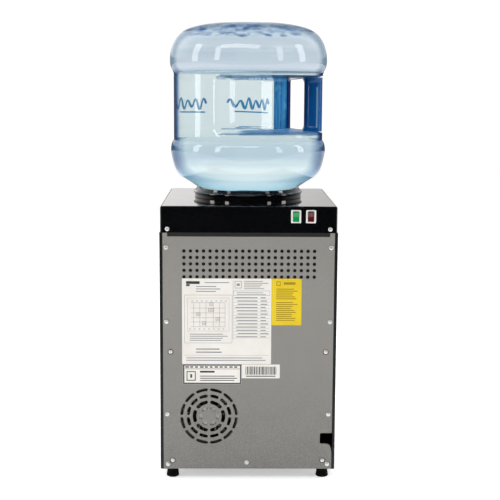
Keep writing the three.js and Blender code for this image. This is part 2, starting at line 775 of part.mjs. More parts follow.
// The rocker rests with one half pressed in, so it is drawn tilted about its own axis.
function rocker(x) {
  const rise = 3.2;
  const [wide, half] = SWITCH.rocker;
  const section = [
    [rise, -half], [2.2, 0], [rise, half], [-2, half], [-5.5, 3.5], [-5.5, -3.5], [-2, -half],
  ];
  const { tilt, axisY, z } = SWITCH;
  const tilted = section.map(([a, b]) => [
    axisY + a * Math.cos(tilt) + b * Math.sin(tilt),
    z - a * Math.sin(tilt) + b * Math.cos(tilt),
  ]);
  return prismX(new THREE.Shape(vectors(tilted)), x - wide, x + wide);
}

// ---------------------------------------------------------------- labels and screws

const LABELS = {
  data_label: [-37.5, 107.9, 179.3, 321.4, "paper"],
  notice_label: [-86.3, -38, 244.4, 321.4, "yellowPaper"],
  warning_label: [10.8, 106.7, 145.5, 178.9, "paper"],
  serial_label: [-52, 10.4, 155.4, 178.7, "paper"],
};
const label = ([x0, x1, z0, z1]) =>
  box(x0, x1, REAR + 0.1, REAR + 0.4, FOOT + z0, FOOT + z1);

function screw([x, z]) {
  const head = REAR + GAP;
  return turnedY(
    [[0, 157], [1.7, 157], [1.7, head], [3.5, head], [3.5, head + 1], [2.4, head + 1.8], [0, head + 1.8]],
    10, x, z,
  );
}

// ---------------------------------------------------------------- assembly

piece("base_pan", basePan(HOT), "blackPaint");
for (const [name, x, y] of [
  ["foot_rear_left", -125, 145],
  ["foot_rear_right", 125, 145],
  ["foot_front_left", -125, -135],
  ["foot_front_right", 125, -135],
]) {
  piece(name, foot().translate([x, y, 0]), "rubber");
}
piece("side_panel_left", sidePanel(-1), "blackPaint");
piece("side_panel_right", sidePanel(1), "blackPaint");
piece("rear_panel", rearPanel(), "greyPaint");
piece("top_cover", topCover(), "glossBlack");
piece("lamp_lens", lampLens(), "lens");
piece("front_fascia", frontFascia(), "glossBlack");
piece("alcove_liner", alcoveLiner(), "satinBlack");
piece("drip_tray", dripTray(), "satinBlack");
piece("drip_grille", dripGrille(), "steel");

piece("cold_tap_body", tapBody(-1), "satinBlack");
piece("hot_tap_body", tapBody(1), "satinBlack");
piece("cold_tap_pin", tapPin(-1), "steel");
piece("hot_tap_pin", tapPin(1), "steel");
piece("cold_tap_paddle", tapPaddle(-1, false), "coldBlue");
piece("hot_tap_paddle", tapPaddle(1, true), "satinBlack");
piece("hot_child_lock", childLock(), "hotRed");

piece("bottle", bottle(), "bottleBlue");
piece("bottle_cap", bottleCap(), "capBlue");
piece("bottle_collar", bottleCollar(), "glossBlack");
piece("bottle_probe", bottleProbe(), "whitePlastic");
piece("reservoir", reservoir(), "whitePlastic");
piece("tank_shelf", tankShelf(), "blackPaint");

piece("cold_tank", can(COLD, 25), "steel");
piece("cold_tank_foam", coldTankFoam(), "foam");
piece("cold_block", plate(20, BLOCK_Y), "aluminium");
piece("thermoelectric_module", plate(20, MODULE_Y), "ceramic");
piece("heat_sink", heatSink(), "aluminium");
piece("fan_frame", fanFrame(), "satinBlack");
piece("fan_impeller", fanImpeller(), "satinBlack");

piece("hot_tank", hotTank(), "steel");
piece("heater_band", heaterBand(), "steel");
piece("hot_tank_stand", hotTankStand(), "steel");
piece("hot_thermostat", hotThermostat(), "satinBlack");
piece("drain_fitting", drainFitting(), "whitePlastic");
piece("drain_plug", drainPlug(), "satinBlack");

const HOSE = 4.5;
const FEED_TOP = RESERVOIR.stubLow - GAP;
for (const [side, tank, feed, outlet] of [
  [1, COLD, "cold_feed_hose", "cold_outlet_hose"],
  [-1, HOT, "hot_feed_hose", "hot_outlet_hose"],
]) {
  const neck = tank.high + 10 + GAP;
  const stubX = tank.x + side * (tank === COLD ? 25 : 20);
  const { stubX: feedX, stubY: feedY } = RESERVOIR;
  piece(
    feed,
    hose(HOSE, [
      [side * feedX, feedY, FEED_TOP],
      [side * feedX, feedY, FEED_TOP - 25],
      [tank.x, tank.y, neck + 30],
      [tank.x, tank.y, neck],
    ]),
    "silicone",
  );
  piece(
    outlet,
    hose(HOSE, [
      [stubX, tank.y, neck],
      [stubX, tank.y, neck + 12],
      [side * 90, -30, 265],
      [side * 62, -60, 305],
      [side * 44, -66, 330],
      [side * TAP.x, -80, 336],
      [side * TAP.x, -88 + GAP, 336],
    ]),
    "silicone",
  );
}

piece("power_supply", powerSupply(), "steel");
piece("terminal_block", terminalBlock(), "whitePlastic");
piece("cold_switch_bezel", switchBezel(COLD_SWITCH_X), "whitePlastic");
piece("hot_switch_bezel", switchBezel(HOT_SWITCH_X), "whitePlastic");
piece("cold_switch_rocker", rocker(COLD_SWITCH_X), "switchGreen");
piece("hot_switch_rocker", rocker(HOT_SWITCH_X), "switchRed");

for (const [name, place] of Object.entries(LABELS)) piece(name, label(place), place[4]);

const [upper, , , lowest] = SCREWS.panel;
for (const [name, [x, z]] of [
  ["cover_screw", SCREWS.cover[0]],
  ["rear_screw_upper", upper],
  ["rear_screw_lower", lowest],
]) {
  piece(name + "_left", screw([-x, FOOT + z]), "steel");
  piece(name + "_right", screw([x, FOOT + z]), "steel");
}

export default dispenser;
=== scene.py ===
"""Countertop water dispenser: the looks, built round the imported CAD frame.

Metres, +Z up, the rear panel at +Y. A shape is a pair (vertices, faces).
"""
import json
from math import atan2, copysign, cos, degrees, exp, hypot, log, pi, radians, sin

import bmesh
import bpy
from mathutils import Matrix, Vector

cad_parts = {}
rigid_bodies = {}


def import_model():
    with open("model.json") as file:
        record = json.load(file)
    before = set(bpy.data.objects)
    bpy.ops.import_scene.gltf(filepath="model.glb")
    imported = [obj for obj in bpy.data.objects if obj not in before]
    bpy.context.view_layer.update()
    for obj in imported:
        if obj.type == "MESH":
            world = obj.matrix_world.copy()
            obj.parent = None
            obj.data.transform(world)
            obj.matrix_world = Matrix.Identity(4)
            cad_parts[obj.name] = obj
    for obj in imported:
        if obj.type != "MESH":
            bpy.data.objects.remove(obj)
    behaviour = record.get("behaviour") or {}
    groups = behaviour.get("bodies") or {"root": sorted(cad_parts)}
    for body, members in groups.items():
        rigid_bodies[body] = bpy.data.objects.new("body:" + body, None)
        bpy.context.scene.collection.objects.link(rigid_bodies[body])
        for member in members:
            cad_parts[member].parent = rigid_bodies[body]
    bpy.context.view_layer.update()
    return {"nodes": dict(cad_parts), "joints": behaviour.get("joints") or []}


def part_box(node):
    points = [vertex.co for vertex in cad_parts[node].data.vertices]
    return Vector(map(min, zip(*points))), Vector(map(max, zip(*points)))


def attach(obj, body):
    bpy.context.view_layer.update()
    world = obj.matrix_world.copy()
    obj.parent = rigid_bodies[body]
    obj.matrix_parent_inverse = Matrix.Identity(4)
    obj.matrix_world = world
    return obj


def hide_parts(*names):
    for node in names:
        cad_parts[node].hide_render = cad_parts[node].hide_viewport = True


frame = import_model()
nodes = frame["nodes"]

MM = 0.001
FOOT = 17.5 * MM  # the cabinet's lower edge
SHARP = radians(34)  # edges sharper than this stay sharp in the shading
BEVELLED = radians(50)  # and sharper than this are softened where a carved piece asks
WHITE = (1.0, 1.0, 1.0, 1.0)

# Camera, from a fit on the cabinet's corners
CAMERA = {
    "place": (22.7 * MM, 1941.5 * MM, 647.7 * MM),
    "pitch": radians(8.39),
    "yaw": radians(0.80),
    "roll": radians(0.31),
    "lens": 80.14,
    "sensor": 36.0,
}


def mm(*values):
    return [value * MM for value in values]


def middle_of(node):
    low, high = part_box(node)
    return (low + high) / 2


# ---- outlines


def rounded(points, radius, steps=4):
    """A closed polygon with curved corners; radius is one value, or one per corner."""
    radii = radius if isinstance(radius, (list, tuple)) else [radius] * len(points)
    made = []
    for i, corner in enumerate(points):
        here = Vector(corner)
        before = Vector(points[i - 1]) - here
        after = Vector(points[(i + 1) % len(points)]) - here
        if radii[i] == 0:
            made.append(tuple(here))
            continue
        start = here + before.normalized() * min(radii[i], before.length * 0.49)
        end = here + after.normalized() * min(radii[i], after.length * 0.49)
        for step in range(steps + 1):
            t = step / steps
            made.append(tuple(start * (1 - t) ** 2 + here * (2 * t * (1 - t)) + end * t * t))
    return made


def rectangle(a0, a1, b0, b1, radius, steps=4):
    return rounded([(a0, b0), (a1, b0), (a1, b1), (a0, b1)], radius, steps)


def turns(count):
    """The angles that divide a full turn, from 0."""
    return [2 * pi * i / count for i in range(count)]


def circle(a, b, radius, sides):
    return [(a + radius * cos(t), b + radius * sin(t)) for t in turns(sides)]


def arc_slot(a, b, radius, width, length, angle, steps=8):
    """A slot bent round (a, b) with round ends; its middle is at angle from straight up."""
    half = (length - width) / 2 / radius
    made = []

    def at(r, t):
        return (a + r * sin(t), b + r * cos(t))

    for step in range(steps + 1):
        made.append(at(radius + width / 2, angle - half + 2 * half * step / steps))
    for end, sign in ((angle + half, 1), (angle - half, -1)):
        for step in range(1, steps):
            turn = pi * step / steps
            reach = sign * width / 2 * cos(turn)
            swing = sign * width / 2 * sin(turn) / radius
            made.append(at(radius + reach, end + swing))
        if sign == 1:
            for step in range(steps + 1):
                made.append(at(radius - width / 2, angle + half - 2 * half * step / steps))
    return made


def bezier(points, steps):
    """Points on a quadratic or cubic curve, without its first one."""
    made = []
    for step in range(1, steps + 1):
        t = step / steps
        level = [Vector(p) for p in points]
        while len(level) > 1:
            level = [a * (1 - t) + b * t for a, b in zip(level, level[1:])]
        made.append(tuple(level[0]))
    return made


# ---- shapes

TO_REAR = Matrix(((1, 0, 0, 0), (0, 0, -1, 0), (0, 1, 0, 0), (0, 0, 0, 1)))  # Z to -Y, Y to Z
ALONG_Y = Matrix(((0, 1, 0, 0), (0, 0, 1, 0), (1, 0, 0, 0), (0, 0, 0, 1)))  # Z to Y, X to Z


def moved(shape, matrix):
    verts, faces = shape
    return [tuple(matrix @ Vector(v)) for v in verts], faces


def shifted(shape, x=0.0, y=0.0, z=0.0):
    return moved(shape, Matrix.Translation((x, y, z)))


def revolved(profile, segments, closed=True):
    """A profile of (radius, height) turned about Z."""
    loop = [*profile, profile[0]] if closed else list(profile)
    rows = len(loop)
    verts = [(r * cos(t), r * sin(t), z) for t in turns(segments) for r, z in loop]
    faces = []
    for i in range(segments):
        j = (i + 1) % segments
        for k in range(rows - 1):
            faces.append((i * rows + k, j * rows + k, j * rows + k + 1, i * rows + k + 1))
    return verts, faces


def turned_y(profile, segments, x, y, z, closed=False):
    """A profile of (radius, depth) turned about a line that runs along Y from (x, y, z)."""
    return shifted(moved(revolved(profile, segments, closed), ALONG_Y), x, y, z)


def lofted(rings, capped=True):
    """A skin over rings with the same number of points."""
    count = len(rings[0])
    verts = [point for ring in rings for point in ring]
    faces = []
    for low in range(0, (len(rings) - 1) * count, count):
        for i in range(count):
            j = (i + 1) % count
            faces.append((low + i, low + j, low + count + j, low + count + i))
    if capped:
        faces.append(tuple(reversed(range(count))))
        faces.append(tuple(range(len(verts) - count, len(verts))))
    return verts, faces


def slab(outline, holes, low, high):
    """An outline with holes, lying in XY, from the height low to high."""
    curve = bpy.data.curves.new("outline", "CURVE")
    curve.dimensions = "2D"
    curve.fill_mode = "BOTH"
    curve.extrude = (high - low) / 2
    for loop in [outline, *holes]:
        spline = curve.splines.new("POLY")
        spline.points.add(len(loop) - 1)
        for point, (a, b) in zip(spline.points, loop):
            point.co = (a, b, 0, 1)
        spline.use_cyclic_u = True
    holder = bpy.data.objects.new("outline", curve)
    mesh = bpy.data.meshes.new_from_object(holder)
    middle = (high + low) / 2
    verts = [(v.co.x, v.co.y, v.co.z + middle) for v in mesh.vertices]
    faces = [tuple(p.vertices) for p in mesh.polygons]
    bpy.data.objects.remove(holder)
    bpy.data.curves.remove(curve)
    bpy.data.meshes.remove(mesh)
    return verts, faces


def plate(outline, back, front, holes=()):
    """An outline in XZ with holes, standing from y = back to y = front."""
    return moved(slab(outline, holes, -front, -back), TO_REAR)


def block(low, high, edge):
    """A box whose upright edges are rounded and whose top and bottom are chamfered."""
    def ring(z, inset):
        outline = rectangle(low[0] + inset, high[0] - inset, low[1] + inset, high[1] - inset,
                            edge, 3)
        return [(x, y, z) for x, y in outline]

    wide, fine = edge * 0.6, edge * 0.2
    return lofted([
        ring(low[2], wide), ring(low[2] + fine, fine), ring(low[2] + wide, 0),
        ring(high[2] - wide, 0), ring(high[2] - fine, fine), ring(high[2], wide),
    ])


# ---- pieces


def placed(name, data):
    made = bpy.data.objects.new(name, data)
    bpy.context.scene.collection.objects.link(made)
    return made


def weigh_normals(made):
    made.modifiers.new("normals", "WEIGHTED_NORMAL").keep_sharp = True


def clean(mesh, edge=0.0):
    """Merges doubles, turns the faces out, softens sharp edges by edge and marks the rest."""
    bm = bmesh.new()
    bm.from_mesh(mesh)
    bmesh.ops.remove_doubles(bm, verts=bm.verts, dist=1e-6)
    bmesh.ops.dissolve_degenerate(bm, dist=1e-7, edges=bm.edges)
    bmesh.ops.recalc_face_normals(bm, faces=bm.faces)
    if edge:
        hard = [e for e in bm.edges if e.is_manifold and e.calc_face_angle(0) > BEVELLED]
        bmesh.ops.bevel(bm, geom=hard, offset=edge, segments=2, profile=0.5, affect="EDGES",
                        clamp_overlap=True)
    for face in bm.faces:
        face.smooth = True
    for e in bm.edges:
        e.smooth = not (e.is_manifold and e.calc_face_angle(0) > SHARP)
    bm.to_mesh(mesh)
    bm.free()


def piece(name, shapes, replaces=(), body="cabinet", weighted=True):
    """One piece from [(shape, material's name), ...], riding on a body.
    """
    verts, faces, numbers, palette = [], [], [], []
    for (points, sides), material in shapes:
        if material not in palette:
            palette.append(material)
        start = len(verts)
        verts += points
        faces += [tuple(start + i for i in side) for side in sides]
        numbers += [palette.index(material)] * len(sides)
    mesh = bpy.data.meshes.new(name)
    mesh.from_pydata(verts, [], faces)
    for material in palette:
        mesh.materials.append(M[material])
    mesh.polygons.foreach_set("material_index", numbers)
    clean(mesh)
    made = placed(name, mesh)
    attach(made, body)
    if replaces:
        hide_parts(*replaces)
    if weighted:
        weigh_normals(made)
    return made


def carve(target, cutters, edge=0.0):
    """Cuts shapes out of a piece for good, and softens its sharp edges by edge."""
    holders = []
    for number, (points, sides) in enumerate(cutters):
        mesh = bpy.data.meshes.new("cutter")
        mesh.from_pydata(points, [], sides)
        clean(mesh)
        holders.append(placed(f"cutter_{number}", mesh))
        modifier = target.modifiers.new("carve", "BOOLEAN")
        modifier.operation = "DIFFERENCE"
        modifier.solver = "EXACT"
        modifier.object = holders[-1]
    bpy.context.view_layer.update()
    graph = bpy.context.evaluated_depsgraph_get()
    made = bpy.data.meshes.new_from_object(target.evaluated_get(graph))
    target.modifiers.clear()
    old, target.data = target.data, made
    bpy.data.meshes.remove(old)
    for holder in holders:
        bpy.data.objects.remove(holder)
    clean(made, edge)
    weigh_normals(target)


# ---- shader nodes


def wire(tree, kind, inputs=None, **settings):
    """A shader node; each input is a value, or another node's output to link to it."""
    made = tree.nodes.new("ShaderNode" + kind)
    for name, value in settings.items():
        setattr(made, name, value)
    for socket, value in (inputs or {}).items():
        if isinstance(value, bpy.types.NodeSocket):
            tree.links.new(value, made.inputs[socket])
        else:
            made.inputs[socket].default_value = value
    return made


def ranged(tree, source, low, high, start, end):
    """low to high as source goes from start to end."""
    return wire(tree, "MapRange", {"Value": source, "From Min": start, "From Max": end,
                                   "To Min": low, "To Max": high}).outputs["Result"]


def product(tree, a, b):
    return wire(tree, "Math", {0: a, 1: b}, operation="MULTIPLY").outputs["Value"]


def srgb(red, green, blue):
    """A colour given as 0 to 255 display values, in linear light."""
    def linear(value):
        share = value / 255
        return share / 12.92 if share <= 0.04045 else ((share + 0.055) / 1.055) ** 2.4

    return (linear(red), linear(green), linear(blue))


M = {}  # every finish by name: the frame has materials of its own with the same names


class Finish:
    """A material with a Principled shader and the textures that give it its grain."""

    def __init__(self, name, colour, roughness, metallic=0.0, **fixed):
        M[name] = bpy.data.materials.new(name)
        M[name].use_nodes = True
        self.tree = M[name].node_tree
        self.sockets = self.tree.nodes["Principled BSDF"].inputs
        self.roughness = roughness
        fixed.update(Base_Color=(*colour, 1.0), Roughness=roughness, Metallic=metallic)
        for socket, value in fixed.items():
            self.sockets[socket.replace("_", " ")].default_value = value
        self.place = wire(self.tree, "TexCoord").outputs["Object"]

    def noise(self, scale, detail=3.0, stretch=None):
        place = self.place
        if stretch:
            mapping = wire(self.tree, "Mapping", {"Vector": place, "Scale": stretch})
            place = mapping.outputs["Vector"]
        inputs = {"Vector": place, "Scale": scale, "Detail": detail}
        return wire(self.tree, "TexNoise", inputs).outputs["Fac"]

    def cells(self, scale):
        inputs = {"Vector": self.place, "Scale": scale}
        return wire(self.tree, "TexVoronoi", inputs).outputs["Distance"]

    def height(self, low, high):
        """0 at the height low and 1 at high."""
        split = wire(self.tree, "SeparateXYZ", {"Vector": self.place})
        return ranged(self.tree, split.outputs["Z"], 0.0, 1.0, low, high)

    def paint(self, a, b, share):
        """Makes the base colour a, going to b as share goes to 1."""
        mix = wire(self.tree, "Mix", {"A": a, "B": b, "Factor": share}, data_type="RGBA")
        self.tree.links.new(mix.outputs["Result"], self.sockets["Base Color"])

    def tint(self, source, other, start=0.3, end=0.7):
        """Blends the base colour towards another where source is high."""
        base = self.sockets["Base Color"]
        before = base.links[0].from_socket if base.links else tuple(base.default_value)
        self.paint(before, (*other, 1.0), ranged(self.tree, source, 0.0, 1.0, start, end))

    def wear(self, source, spread):
        low, high = max(self.roughness - spread, 0.02), self.roughness + spread
        self.tree.links.new(ranged(self.tree, source, low, high, 0.3, 0.7),
                            self.sockets["Roughness"])

    def bump(self, source, depth_mm):
        """Relief of source, on top of any that is there."""
        normal = self.sockets["Normal"]
        inputs = {"Height": source, "Distance": depth_mm * MM}
        if normal.links:
            inputs["Normal"] = normal.links[0].from_socket
        self.tree.links.new(wire(self.tree, "Bump", inputs).outputs["Normal"], normal)


# ---- materials


def grained(name, colour, roughness, tint, wear=None, bump=None, metallic=0.0, stretch=None,
            **fixed):
    """A finish whose grain is noise.

    tint, wear and bump each start with the noise's scale and detail. Then comes the other
    colour, and where it starts and ends; the spread of the gloss; the depth in mm.
    """
    made = Finish(name, colour, roughness, metallic, **fixed)
    for change, setting in ((made.tint, tint), (made.wear, wear), (made.bump, bump)):
        if setting:
            scale, detail, *rest = setting
            change(made.noise(scale, detail, stretch), *rest)


def moulded(name, colour, roughness, texture_mm=0.6, depth_mm=0.012, **fixed):
    """Injection moulded plastic: a fine spark texture, slow colour drift and uneven gloss."""
    grained(name, colour, roughness, (14.0, 3.0, [channel * 0.86 for channel in colour]),
            (60.0, 5.0, min(0.04, roughness * 0.25)), (1000.0 / texture_mm, 2.0, depth_mm),
            **fixed)


def steel(name, grey, roughness, stretch):
    """Brushed metal; stretch squeezes the noise across the brush marks."""
    grained(name, srgb(grey, grey, grey - 2), roughness,
            (40.0, 4.0, srgb(grey - 26, grey - 25, grey - 24)), (90.0, 4.0, 0.08),
            (160.0, 3.0, 0.006), 1.0, stretch)


def paper(name, colour, uneven):
    grained(name, colour, 0.5, (25.0, 5.0, uneven), (60.0, 3.0, 0.08), (1200.0, 3.0, 0.006),
            Specular_IOR_Level=0.4)


def grey_paint():
    """Fine metallic paint, with painted shade that darkens it towards the cabinet's foot."""
    made = Finish("grey_paint", srgb(150, 147, 142), 0.5, 0.25, Specular_IOR_Level=0.4)
    # painted shade: darker towards the cabinet's foot, where less light falls
    made.tint(made.height(0.32, 0.02), srgb(108, 107, 104), 0.0, 1.0)
    made.tint(made.noise(900.0, 2.0), srgb(138, 136, 132), 0.35, 0.75)
    made.wear(made.noise(40.0, 5.0), 0.06)
    made.bump(made.noise(1500.0, 3.0), 0.012)


def zinc():
    made = Finish("zinc_steel", srgb(150, 153, 156), 0.42, 1.0)
    made.tint(made.cells(90.0), srgb(186, 189, 192), 0.1, 0.7)
    made.wear(made.cells(70.0), 0.1)


def foam():
    made = Finish("foam_beads", srgb(238, 237, 230), 0.95, Specular_IOR_Level=0.2)
    made.tint(made.cells(260.0), srgb(205, 204, 198), 0.35, 0.75)
    made.bump(made.cells(260.0), 0.25)


# The bottle's colours, with light and shade painted in: height over the cabinet's foot in mm,
# colour. The first set is for a wall that is looked through squarely, the second for one that is
# seen along its thickness, where the plastic's own tint is deepened into painted shade.
WALL_TINT_AND_LIGHT_ZONES = (
    # painted highlight: the near white stops from 476 to 494
    (372, (222, 240, 247)), (452, (223, 244, 252)), (476, (246, 252, 253)),
    (494, (243, 250, 251)), (502, (222, 233, 239)), (530, (224, 234, 239)),
    (538, (231, 239, 241)), (556, (236, 242, 243)), (648, (238, 243, 244)),
    # painted shade: the dark stop at 653, a line under the groove
    (651, (222, 231, 236)), (653, (172, 194, 208)), (656, (212, 224, 232)),
    (662, (228, 235, 241)), (690, (219, 229, 236)), (693, (229, 236, 241)),
    (720, (224, 234, 241)), (732, (206, 222, 235)),
)
EDGE_TINT_AND_SHADE_ZONES = (
    (372, (222, 243, 250)), (470, (216, 240, 249)), (482, (150, 192, 218)),
    # painted shade: the dark navy edges from 494 to 652, round the waist
    (494, (86, 134, 176)), (530, (100, 144, 182)), (540, (56, 102, 158)),
    (652, (56, 102, 158)), (660, (176, 196, 212)), (736, (180, 198, 214)),
)


def over_foot(height):
    return FOOT + height * MM


def zoned(made, zones):
    """Colours up the object by height, with soft steps."""
    low, high = over_foot(zones[0][0]), over_foot(zones[-1][0])
    ramp = wire(made.tree, "ValToRGB", {"Fac": made.height(low, high)})
    stops = ramp.color_ramp.elements
    for number, (height, colour) in enumerate(zones):
        place = (over_foot(height) - low) / (high - low)
        stop = stops[number] if number < 2 else stops.new(place)
        stop.position = place
        stop.color = (*srgb(*colour), 1.0)
    return ramp.outputs["Color"]


def clear_wall(name, gloss):
    """Blown clear plastic, with light and shade painted in by height, bluer and darker seen
    along its thickness (its own tint, deepened by painted shade), with ripples round its crown.
    """
    made = Finish(name, srgb(240, 246, 248), 0.02, Transmission_Weight=1.0, IOR=1.02,
                  Coat_Weight=gloss, Coat_Roughness=0.02, Coat_IOR=1.4)
    tree = made.tree
    edge = wire(tree, "LayerWeight", {"Blend": 0.5}).outputs["Facing"]
    upper = made.height(over_foot(530), over_foot(540))
    along = ranged(tree, edge, 0.0, 1.0, ranged(tree, upper, 0.4, 0.58, 0.0, 1.0), 0.7)
    # painted light and shade: colour by height, darker and bluer towards grazing edges
    made.paint(zoned(made, WALL_TINT_AND_LIGHT_ZONES), zoned(made, EDGE_TINT_AND_SHADE_ZONES), along)
    split = wire(tree, "SeparateXYZ", {"Vector": made.place})
    fade = made.height(over_foot(735), over_foot(730))
    crown = ranged(tree, split.outputs["Z"], 0.0, fade, over_foot(710), over_foot(720))
    swirl = product(tree, made.noise(55.0, 5.0, (1.0, 1.0, 2.0)), crown)
    made.tint(swirl, srgb(40, 104, 164), 0.45, 0.66)
    made.wear(made.noise(50.0, 5.0), 0.015)
    made.bump(made.noise(30.0, 2.0, (1.0, 1.0, 0.35)), 0.1)
    made.bump(swirl, 2.0)


def pocket_wall():
    """The pocket's inner wall: a painted blue, bluer than the rest, with upright streaks,
    standing in for the deep blue that refraction and reflection in the water show there.
    """
    made = Finish("pocket_reflection_blue", srgb(84, 172, 226), 0.1, Transmission_Weight=0.4, IOR=1.38)
    made.tint(made.noise(260.0, 3.0, (1.0, 1.0, 0.05)), srgb(44, 126, 190), 0.4, 0.62)
    made.tint(made.noise(60.0, 2.0), srgb(110, 200, 230), 0.55, 0.8)
    made.bump(made.noise(120.0, 2.0, (1.0, 1.0, 0.2)), 0.08)


grained("gloss_black", srgb(7, 8, 9), 0.07, (9.0, 3.0, srgb(10, 11, 13)), (35.0, 6.0, 0.03),
        (70.0, 2.0, 0.003), Coat_Weight=0.35, Coat_Roughness=0.03,
        Specular_Tint=(1.0, 0.93, 0.9, 1.0), Coat_Tint=(1.0, 0.96, 0.94, 1.0))
grained("black_paint", srgb(12, 13, 14), 0.38, (30.0, 3.0, srgb(17, 18, 19)), (50.0, 5.0, 0.03),
        (700.0, 2.0, 0.02), Specular_IOR_Level=0.25)
grained("foot_rubber", srgb(6, 6, 6), 0.75, (120.0, 5.0, srgb(16, 15, 14), 0.5, 0.9),
        bump=(900.0, 4.0, 0.03), Specular_IOR_Level=0.1)
grained("silicone_hose", srgb(214, 219, 220), 0.45, (20.0, 3.0, srgb(196, 203, 205)),
        bump=(500.0, 3.0, 0.01), Transmission_Weight=0.25)
grained("water", srgb(250, 253, 253), 0.0, (6.0, 3.0, srgb(244, 251, 253)),
        Transmission_Weight=1.0, IOR=1.04)
grey_paint()
zinc()
foam()
steel("stainless", 190, 0.3, (1.0, 14.0, 1.0))
steel("screw_steel", 232, 0.42, (6.0, 1.0, 6.0))
steel("aluminium", 205, 0.38, (1.0, 1.0, 9.0))

moulded("satin_black", srgb(26, 27, 28), 0.45)
moulded("fascia_black", srgb(8, 9, 10), 0.3, 0.5, 0.006, Specular_IOR_Level=0.22)
moulded("white_plastic", srgb(236, 234, 230), 0.32)
moulded("lamp_lens", srgb(60, 62, 66), 0.12, Transmission_Weight=0.3)
moulded("module_ceramic", srgb(236, 232, 224), 0.6)
moulded("cold_blue", srgb(36, 104, 190), 0.28)
moulded("hot_red", srgb(186, 32, 34), 0.28)
moulded("cap_blue", srgb(44, 104, 178), 0.35)
moulded("switch_green", srgb(24, 160, 84), 0.2, Transmission_Weight=0.2)
moulded("switch_red", srgb(96, 26, 30), 0.2, Transmission_Weight=0.2)

clear_wall("bottle_wall", 0.8)
clear_wall("bottle_level", 0.12)  # faces that look up, duller than the rest
pocket_wall()
BLUE_PLASTIC = {"Transmission_Weight": 0.25, "Specular_IOR_Level": 0.25}
moulded("handle_blue", srgb(18, 88, 156), 0.14, IOR=1.45, **BLUE_PLASTIC)
# painted shade: the navy on the pocket wall near the handle
moulded("pocket_navy_shade", srgb(14, 50, 118), 0.14, IOR=1.38, **BLUE_PLASTIC)
# painted shade for the dark lines along the pocket's floor and ceiling edges
moulded("pocket_shade_line", srgb(112, 146, 176), 0.06, Transmission_Weight=0.85, IOR=1.02)
# painted highlight: a pale strip down the handle's outer side
moulded("handle_highlight_strip", srgb(126, 176, 206), 0.1, Transmission_Weight=0.3, IOR=1.38)
PRINT_BLUE = srgb(16, 120, 164)
# the print glows a little: painted light for the light that the bottle keeps from it
moulded("print_blue_self_lit", PRINT_BLUE, 0.4, Emission_Strength=0.6, Emission_Color=(*PRINT_BLUE, 1.0))

paper("label_paper", srgb(232, 229, 224), srgb(222, 218, 211))
paper("label_yellow", srgb(230, 202, 34), srgb(216, 186, 26))
paper("notice_ink", srgb(140, 116, 24), srgb(160, 134, 26))
paper("label_ink", srgb(120, 122, 126), srgb(150, 150, 152))
paper("label_black", srgb(26, 26, 28), srgb(50, 50, 52))
paper("hub_label", srgb(205, 206, 204), srgb(188, 188, 186))


# ---- rear of the cabinet

VENT = {"columns": 21, "rows": 5, "pitch": 10.55 * MM, "radius": 2.9 * MM, "x": -1 * MM,
        "top": 383.7 * MM}
FAN = {"x": 64 * MM, "z": 108.5 * MM}
GRILLE = (  # radius, width, slots, length, in millimetres
    (45.0, 4.9, 12, 19.8),
    (34.4, 5.2, 12, 14.4),
    (23.8, 6.1, 6, 21.2),
    (13.7, 5.4, 6, 10.9),
)
NOTCH = {"x": -119.4 * MM, "low": FOOT + 44.3 * MM, "high": FOOT + 62.3 * MM}

# The screws: (x, z) in mm from the cabinet's middle and foot, one at each side
RECESSED = 1.3 * MM
SCREWS = {
    "cover_screw": ((131.4, 402.0), 0.0),
    "rear_screw_upper": ((133.4, 372.0), 0.0),
    "rear_screw_lower": ((131.8, 9.0), 0.0),
    "rear_screw_middle": ((133.2, 250.0), 0.0),
    "rear_screw_fan": ((132.7, 94.4), 0.0),
    "bracket_screw": ((126.9, 199.5), RECESSED),
    "bracket_screw_low": ((124.0, 15.4), RECESSED),
}
MIDDLE_SCREW = (1.7, 11.8)  # the only one without a partner
SCREW = {"radius": 3.5 * MM, "height": 1.8 * MM, "shank": 1.7 * MM, "length": 6 * MM}


def rear_panel():
    low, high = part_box("rear_panel")
    band = high.z - 6 * MM
    step = 131.5 * MM
    outline = rounded(
        [
            (low.x, low.z), (high.x, low.z), (high.x, high.z), (step, high.z), (step, band),
            (-step, band), (-step, high.z), (low.x, high.z), (low.x, NOTCH["high"]),
            (NOTCH["x"], NOTCH["high"]), (NOTCH["x"], NOTCH["low"]),
            (low.x + 4 * MM, NOTCH["low"]), (low.x, NOTCH["low"] - 13 * MM),
        ],
        mm(1.5, 1.5, 1, 1, 1.5, 1.5, 1, 1, 1, 3, 3, 7, 6),
    )
    holes = []
    first = VENT["x"] - (VENT["columns"] - 1) / 2 * VENT["pitch"]
    for column in range(VENT["columns"]):
        for row in range(VENT["rows"]):
            x = first + column * VENT["pitch"]
            holes.append(circle(x, VENT["top"] - row * VENT["pitch"], VENT["radius"], 20))
    for radius, width, slots, length in GRILLE:
        for i in range(slots):
            angle = 2 * pi * (i + 0.5) / slots
            holes.append(arc_slot(FAN["x"], FAN["z"], *mm(radius, width, length), angle))
    for (x, z), depth in SCREWS.values():
        if depth:
            for side in (-1, 1):
                holes.append(circle(side * x * MM, over_foot(z), 4.6 * MM, 28))
    sheet = plate(outline, low.y, high.y, holes)
    piece("rear_panel_sheet", [(sheet, "grey_paint")], ["rear_panel"])


def vent_screen():
    """A solid black sheet behind the vent holes: painted shade, so that they show dark as into
    the unlit cabinet.
    """
    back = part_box("rear_panel")[0].y
    reach, below, above = (share * VENT["pitch"] for share in (11.2, 4.8, 0.8))
    outline = rectangle(VENT["x"] - reach, VENT["x"] + reach, VENT["top"] - below,
                        VENT["top"] + above, 4 * MM)
    mesh = plate(outline, back - 1.0 * MM, back - 0.3 * MM)
    piece("vent_screen", [(mesh, "black_paint")])


